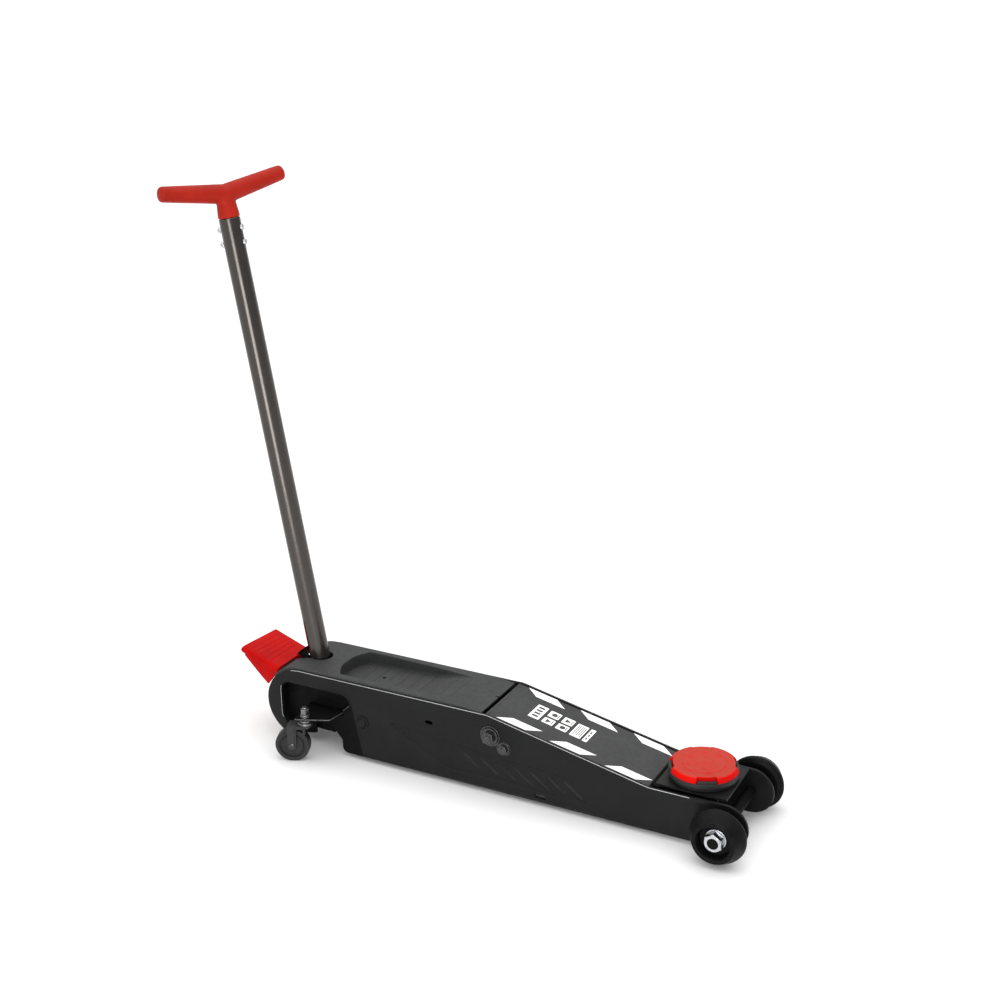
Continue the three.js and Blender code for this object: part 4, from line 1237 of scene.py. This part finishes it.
def add_flank_bolts():
    start = PLATE_OUT + 0.15
    big = along_y(bolt_stack(18, 13, start, 2.4, 7.6, 3.5), ARM_PIVOT.x, ARM_PIVOT.z)
    small = along_y(bolt_stack(13.5, 9.6, start, 1.6, 5.0, 2.4), ROD_PIVOT.x, ROD_PIVOT.z)
    dome = rounded([
        (0.01, start), (11.8, start, 0.3), (11.6, start + 1.2, 0.6), (9.2, start + 1.4, 0.4),
        (8.6, start + 0.7, 0.3), (7.8, start + 0.9, 0.4), (7, start + 3.4, 2.5), (0.01, start + 4.6),
    ], closed=False, steps=4)
    paired([
        ("arm_pivot_nut", big, "chassis", BOLT, "body_black"),
        ("link_bolt", small, "chassis", BOLT, "body_black"),
        ("cylinder_bolt", along_y(lathe(dome, 56), *MOUNT_BOLT), "chassis", PAINT, "body_black"),
    ])


# ---- foot pedal ----
PEDAL_LOW, PEDAL_HIGH = span("foot_pedal")
PEDAL_HALF = PEDAL_HIGH.y
TREAD_REAR = Vector((PEDAL_LOW.x, 0, PEDAL_HIGH.z))
TREAD_FRONT = Vector((-738, 0, 112.8))
PEDAL_T = 3.0
SIDE_FOLD = 3.6
LIP_R = 3.2
SKEW = 6                             # the tread's rear edge is bent forward by this much at its left end


def tread_mesh():
    """The tread: grooves across it, a rolled rear lip and sides that fold down."""
    run = TREAD_FRONT - TREAD_REAR
    length = run.length
    along = run.normalized()
    up = Vector((-along.z, 0, along.x))
    grooves = [14 + 9.5 * i for i in range(5)]
    stations = set(np.arange(0, length, 3.0)) | {length}
    for g in grooves:
        stations |= {g - 1.3, g - 0.7, g, g + 0.7, g + 1.3}
    across = [(y, 0.0) for y in np.linspace(0, PEDAL_HALF - SIDE_FOLD, 9)]
    across += rolled_edge(PEDAL_HALF, SIDE_FOLD, ROLL) + [(PEDAL_HALF, 6.5)]
    rows = []
    for a in (-90, -60, -30):
        t = math.radians(a)
        roll = Vector((1 + math.sin(t), 0, math.cos(t) - 1)) * LIP_R
        rows.append((TREAD_REAR + roll, 0.0))
    for s in sorted(stations):
        groove = max([max(0.0, 1 - abs(s - g) / 1.3) for g in grooves])
        rows.append((TREAD_REAR + along * max(s, LIP_R), 1.1 * groove))
    shape = []
    for base, dip in rows:
        back = max(0.0, 1 - (base.x - TREAD_REAR.x) / length)
        row = []
        for y, d in both_ways(across):
            shift = SKEW * back * (y / PEDAL_HALF + 1) / 2
            sink = d + dip * float(smooth(PEDAL_HALF - 7 - abs(y), 0, 2.5))
            row.append(base + along * shift + Vector((0, y, 0)) - up * sink)
        shape.append(row)
    return with_modifiers(outward(grid(shape)), ("SOLIDIFY", {"thickness": PEDAL_T, "offset": -1}))


def pedal_side_outline():
    """The three-cornered flange that hangs from each side of the tread."""
    return rounded([
        (TREAD_REAR.x + 0.6, TREAD_REAR.z - 1.2, 1.5), (TREAD_FRONT.x, TREAD_FRONT.z - 0.6, 1.5),
        (-738.7, 109, 1), (-747, 98, 20), (-753.5, 90.5, 20), (-760.7, 81.7, 1.5), (-784, 103.9, 30),
        (-802, 122, 2), (-803.6, 131, 2),
    ], steps=5)


def pedal_arm_outline():
    """The arm inside each flange that turns on the pedal's pin."""
    px, pz = PEDAL_PIVOT.x, PEDAL_PIVOT.z
    return rounded([
        (-747, 113.5, 2), (-738.4, 110.4, 1), (-727, 95, 4), (px + 8, pz - 2, 5), (px, pz - 8, 5),
        (px - 9, pz, 5), (-746, 98, 6),
    ], steps=5)


def add_pedal():
    px, pz = PEDAL_PIVOT.x, PEDAL_PIVOT.z
    hole = arc(px, pz, 4.3, 0, 342, 19)
    lip = rounded([
        (-743, 113.4, 1), (-738, 112, 1.5), (-738, 109.3, 3), (-742.3, 101.5, 0.8), (-745.3, 102.3, 0.8),
        (-742, 109.5, 3),
    ])
    arm_t = 3.6
    shapes = [tread_mesh(), slab([lip], 3 - PEDAL_HALF, PEDAL_HALF - 3, 0.6, 1)]
    for low in (PEDAL_HALF - PEDAL_T, -PEDAL_HALF):
        shapes.append(slab([pedal_side_outline()], low, low + PEDAL_T, 1.2, 3))
    for low in (PEDAL_HALF - PEDAL_T - arm_t, PEDAL_T - PEDAL_HALF):
        shapes.append(slab([pedal_arm_outline(), hole], low, low + arm_t, 0.6, 2))
    tongue_low = span("foot_pump_plunger")[0]
    y = middle("foot_pump_plunger").y / MM
    x = tongue_low.x
    shapes.append(block((x - 3.7, x - 0.5), (y - 6, y + 6), (PEDAL_LOW.z, 111)))
    piece("foot_pedal_pressed", joined(*shapes), "pedal", PEDAL, ["foot_pedal"], 40)
    low, high = span("pedal_spring")
    steps = 20
    turns = 6
    coil = []
    for i, y in enumerate(np.linspace(low.y + 1.3, high.y - 1.3, turns * steps + 1)):
        x, z = polar(px, pz, 6.2, 360 * i / steps)
        coil.append((x, y, z))
    piece("pedal_coil", sweep(coil, 1.25, 10), "chassis", ZINC, ["pedal_spring"], 60)


# ---- handle ----
TUBE_R = 15.6
TUBE_END = 707
GRIP_AT = 741.5
GRIP_TURN = -24
GRIP_HALF = 100
GRIP_RISE = 16
SCREWS_AT = (692, 670.5)
SCREW_TURN = 37


def on_handle():
    """From the handle's own frame, its tube along local Z from the pivot, to the jack's."""
    lean = Matrix.Rotation(math.atan2(HANDLE_AXIS.x, HANDLE_AXIS.z), 4, "Y")
    return Matrix.Translation(HANDLE_PIVOT) @ lean @ Matrix.Rotation(math.radians(GRIP_TURN), 4, "Z")


def tube_mesh():
    r = TUBE_R
    low, high = -16, TUBE_END
    profile = [(r - 2, low), (r - 0.4, low), (r, low + 0.5), (r, high - 0.5), (r - 0.4, high), (r - 2, high)]
    rows = []
    for (r0, h0), (r1, h1) in zip(profile, profile[1:] + profile[:1]):
        count = max(1, int(abs(h1 - h0) / 40))
        rows += [(r0 + (r1 - r0) * i / count, h0 + (h1 - h0) * i / count) for i in range(count)]
    return lathe(rows, 64, closed=True)


def grip_mesh():
    """The T-grip: a flared neck that flows into two tapering arms with blunt round ends."""
    slant = math.atan2(GRIP_RISE, GRIP_HALF)
    length = GRIP_HALF / math.cos(slant)
    end = 11.2
    tip = [(end, 4), (end - 0.5, 2), (end - 1.8, 0.5), (end - 4, 0), (0, 0)]
    arm = lathe([(0, -4), (14.2, -4), (14, 12), (13, 40), (12, 75)] + [(r, length - h) for r, h in tip], 48)
    foot = TUBE_END
    neck = lathe([(0, foot + 0.4), (15.9, foot + 0.4), (16, foot + 2), (15.4, foot + 9), (14.2, foot + 20),
                  (14.4, GRIP_AT - 8), (14.2, GRIP_AT), (10, GRIP_AT + 9), (0, GRIP_AT + 11)], 48)
    shapes = [neck]
    for sign in (1, -1):
        tilt = Matrix.Rotation(-sign * (math.pi / 2 - slant), 4, "X")
        shapes.append(moved(arm.copy(), Matrix.Translation((0, 0, GRIP_AT)) @ tilt))
    shape = with_modifiers(
        joined(*shapes),
        ("REMESH", {"mode": "VOXEL", "voxel_size": 1.5, "use_smooth_shade": True}),
        ("SMOOTH", {"factor": 0.5, "iterations": 6}),
    )
    plug = lathe([(0, 656), (13, 656), (13.2, 657), (13.2, TUBE_END + 3), (0, TUBE_END + 3)], 40)
    return joined(shape, plug)


def screw_mesh():
    """A pan head with a cross recess, about local Z, from inside the tube wall outwards."""
    pan = [(0, 0.1), (4.5, 0.1), (4.7, 1.4), (4.1, 2.7), (2.6, 3.5), (0, 3.7)]
    head = lathe([(r, TUBE_R + h) for r, h in pan], 40)
    shank = lathe([(0, 8), (2.3, 8), (2.3, TUBE_R + 0.2), (0, TUBE_R + 0.2)], 24)
    long, wide, deep = (-2.8, 2.8), (-0.6, 0.6), (TUBE_R + 2.2, TUBE_R + 5)
    cross = joined(block(long, wide, deep, 0.1, 1), block(wide, long, deep, 0.1, 1))
    return joined(cut(head, cross), shank)


def grip_nut_mesh():
    """The nut and thread end on the far side of a grip screw, about local Z."""
    nut = slab([hexagon(4.9)], TUBE_R + 0.4, TUBE_R + 4.4, 0.4, 1, "XY")
    end = lathe([(0, 8), (2.3, 8), (2.3, TUBE_R + 6), (1.6, TUBE_R + 6.8), (0, TUBE_R + 6.8)], 24)
    return joined(nut, end)


def shield_mesh():
    """The curved guard behind the tube that closes the cover's slot as the handle swings."""
    px, pz = HANDLE_PIVOT.x, HANDLE_PIVOT.z
    guard = arc(px, pz, 46, 124, 144, 8) + arc(px, pz, 44.2, 144, 124, 8)
    web = [(px - 10, pz + 12)] + arc(px, pz, 44.6, 124, 144, 6) + [(px - 17, pz - 2)]
    shapes = [slab([guard], -16.2, 16.2, 0.4, 1)]
    for low in (-11.5, 8.5):
        shapes.append(slab([web], low, low + 3, 0.4, 1))
    return joined(*shapes)


def add_handle():
    piece("handle_guard", shield_mesh(), "socket", INNER_SHADE, (), 40)
    turned = on_handle()
    piece("handle_tube_coated", moved(tube_mesh(), turned), "handle", TUBE, ["handle_tube"], 35)
    piece("t_grip_moulded", moved(grip_mesh(), turned), "handle", GRIP, ["t_grip"], 50)
    spin = Matrix.Rotation(math.radians(SCREW_TURN), 4, "Z")
    number = 1
    for h in SCREWS_AT:
        for side, mesh in ((1, screw_mesh()), (-1, grip_nut_mesh())):
            lay = Matrix.Rotation(side * math.pi / 2, 4, "Y")
            place = turned @ Matrix.Translation((0, 0, h)) @ spin @ lay
            node = f"grip_screw_{number}"
            piece(f"{node}_detail", moved(mesh, place), "handle", ZINC, [node])
            number += 1


# ---- CAD nodes that keep their own shape ----
def dress(node, look, edge=0.6, sharp=35, second=None):
    """Gives a CAD node its finish and a small rounding on its edges."""
    obj = frame["nodes"][node]
    obj.data.materials.clear()
    obj.data.materials.append(look)
    if second is not None:
        obj.data.materials.append(second)
    if edge:
        rounding = obj.modifiers.new("rounding", "BEVEL")
        rounding.width = edge * MM
        rounding.segments = 2
        rounding.limit_method = "ANGLE"
        rounding.angle_limit = math.radians(sharp)
        rounding.harden_normals = False
        if second is not None:
            rounding.material = 1


def add_inner_parts():
    # the head's rounded edges take painted highlights
    dress("saddle_head", HEAD, 1.0, 40, EDGE)
    groups = (
        (INNER_SHADE, 0.5, ("arm_plate_left", "arm_plate_right", "tie_rod_left", "tie_rod_right",
                      "hydraulic_cylinder", "pump_block", "handle_socket")),
        (ZINC, 0.4, ("head_pin", "push_pin", "tie_rod_pin", "pedal_pin", "ram_head", "release_valve")),
        (CHROME, 0.3, ("ram_rod", "pump_plunger", "foot_pump_plunger")),
        (BOLT, 0.5, ("arm_pivot_shaft",)),
    )
    for look, edge, nodes in groups:
        for node in nodes:
            dress(node, look, edge, 50)


# ---- floor, light and camera ----
def floor_material():
    look = Look("floor_pale", 0.75, Specular_IOR_Level=0.15)
    look.colour(look.mix(look.clouds((1.3, 4), 0.3, 0.7), (0.83, 0.83, 0.83), (0.86, 0.86, 0.86)))
    look.bump((look.noise(40, 3), 0.0001, 0.1))
    return look.material


def add_floor():
    reach = 120
    lines = [t ** 3 * reach for t in np.linspace(-1, 1, 25)]
    mesh = grid([[(x, y, 0) for y in lines] for x in lines])
    mesh.flip_normals()
    mesh.materials.append(floor_material())
    floor = bpy.data.objects.new("floor", mesh)
    bpy.context.scene.collection.objects.link(floor)


def add_light(name, place, target, width, height, power):
    light = bpy.data.lights.new(name, "AREA")
    light.shape = "RECTANGLE"
    light.size = width
    light.size_y = height
    light.energy = power
    lamp = bpy.data.objects.new(name, light)
    lamp.location = place
    lamp.rotation_mode = "QUATERNION"
    lamp.rotation_quaternion = (Vector(target) - Vector(place)).to_track_quat("-Z", "Y")
    bpy.context.scene.collection.objects.link(lamp)


SKY_LOW, SKY_HIGH = 0.4, 1.75
CAMERA_AT = (569.4, -1758.07, 1137.3)
CAMERA_TURN = (27.985, -19.409, -0.808)    # to the left, up and about its own axis, in degrees
LENS = 54.32


def add_world():
    """A white sky, brightest overhead and dim towards the horizon, so that upright faces stay dark."""
    world = bpy.data.worlds.new("studio")
    bpy.context.scene.world = world
    world.use_nodes = True
    nodes, links = world.node_tree.nodes, world.node_tree.links
    split = nodes.new("ShaderNodeSeparateXYZ")
    links.new(nodes.new("ShaderNodeTexCoord").outputs["Generated"], split.inputs[0])
    level = nodes.new("ShaderNodeMapRange")
    level.interpolation_type = "SMOOTHSTEP"
    for key, number in (("From Min", 0.0), ("From Max", 1.0), ("To Min", SKY_LOW), ("To Max", SKY_HIGH)):
        level.inputs[key].default_value = number
    links.new(split.outputs["Z"], level.inputs["Value"])
    nodes["Background"].inputs["Color"].default_value = (1, 1, 1, 1)
    links.new(level.outputs["Result"], nodes["Background"].inputs["Strength"])


def add_camera():
    """The camera stands at the right front, looking down at the jack."""
    place = INTO_ROW @ Vector(CAMERA_AT)
    yaw, pitch, roll = (math.radians(a) for a in CAMERA_TURN)
    ahead = Vector((-math.sin(yaw) * math.cos(pitch), math.cos(yaw) * math.cos(pitch), math.sin(pitch)))
    right = Vector((math.cos(yaw), math.sin(yaw), 0))
    up = right.cross(ahead)
    across = right * math.cos(roll) + up * math.sin(roll)
    upward = up * math.cos(roll) - right * math.sin(roll)
    data = bpy.data.cameras.new("camera")
    data.sensor_width = 36
    data.lens = LENS
    data.clip_end = 500
    camera = bpy.data.objects.new("camera", data)
    rows = zip(across, upward, -ahead, place)
    camera.matrix_world = Matrix((*rows, (0, 0, 0, 1)))
    bpy.context.scene.collection.objects.link(camera)
    bpy.context.scene.camera = camera


add_side_plates()
add_rear_cover()
add_arm_cover()
add_front_wheels()
add_saddle()
add_casters()
add_flank_bolts()
add_pedal()
add_handle()
add_inner_parts()
add_floor()
add_world()
add_light("overhead", (0.2, 0.3, 2.6), (0.0, 0.0, 0.0), 2.2, 2.2, 10)
add_light("front_panel", (0.55, -2.0, 0.5), (-0.31, 0.0, 0.45), 0.9, 0.9, 20)
add_camera()
bpy.context.scene.view_settings.view_transform = "Standard"
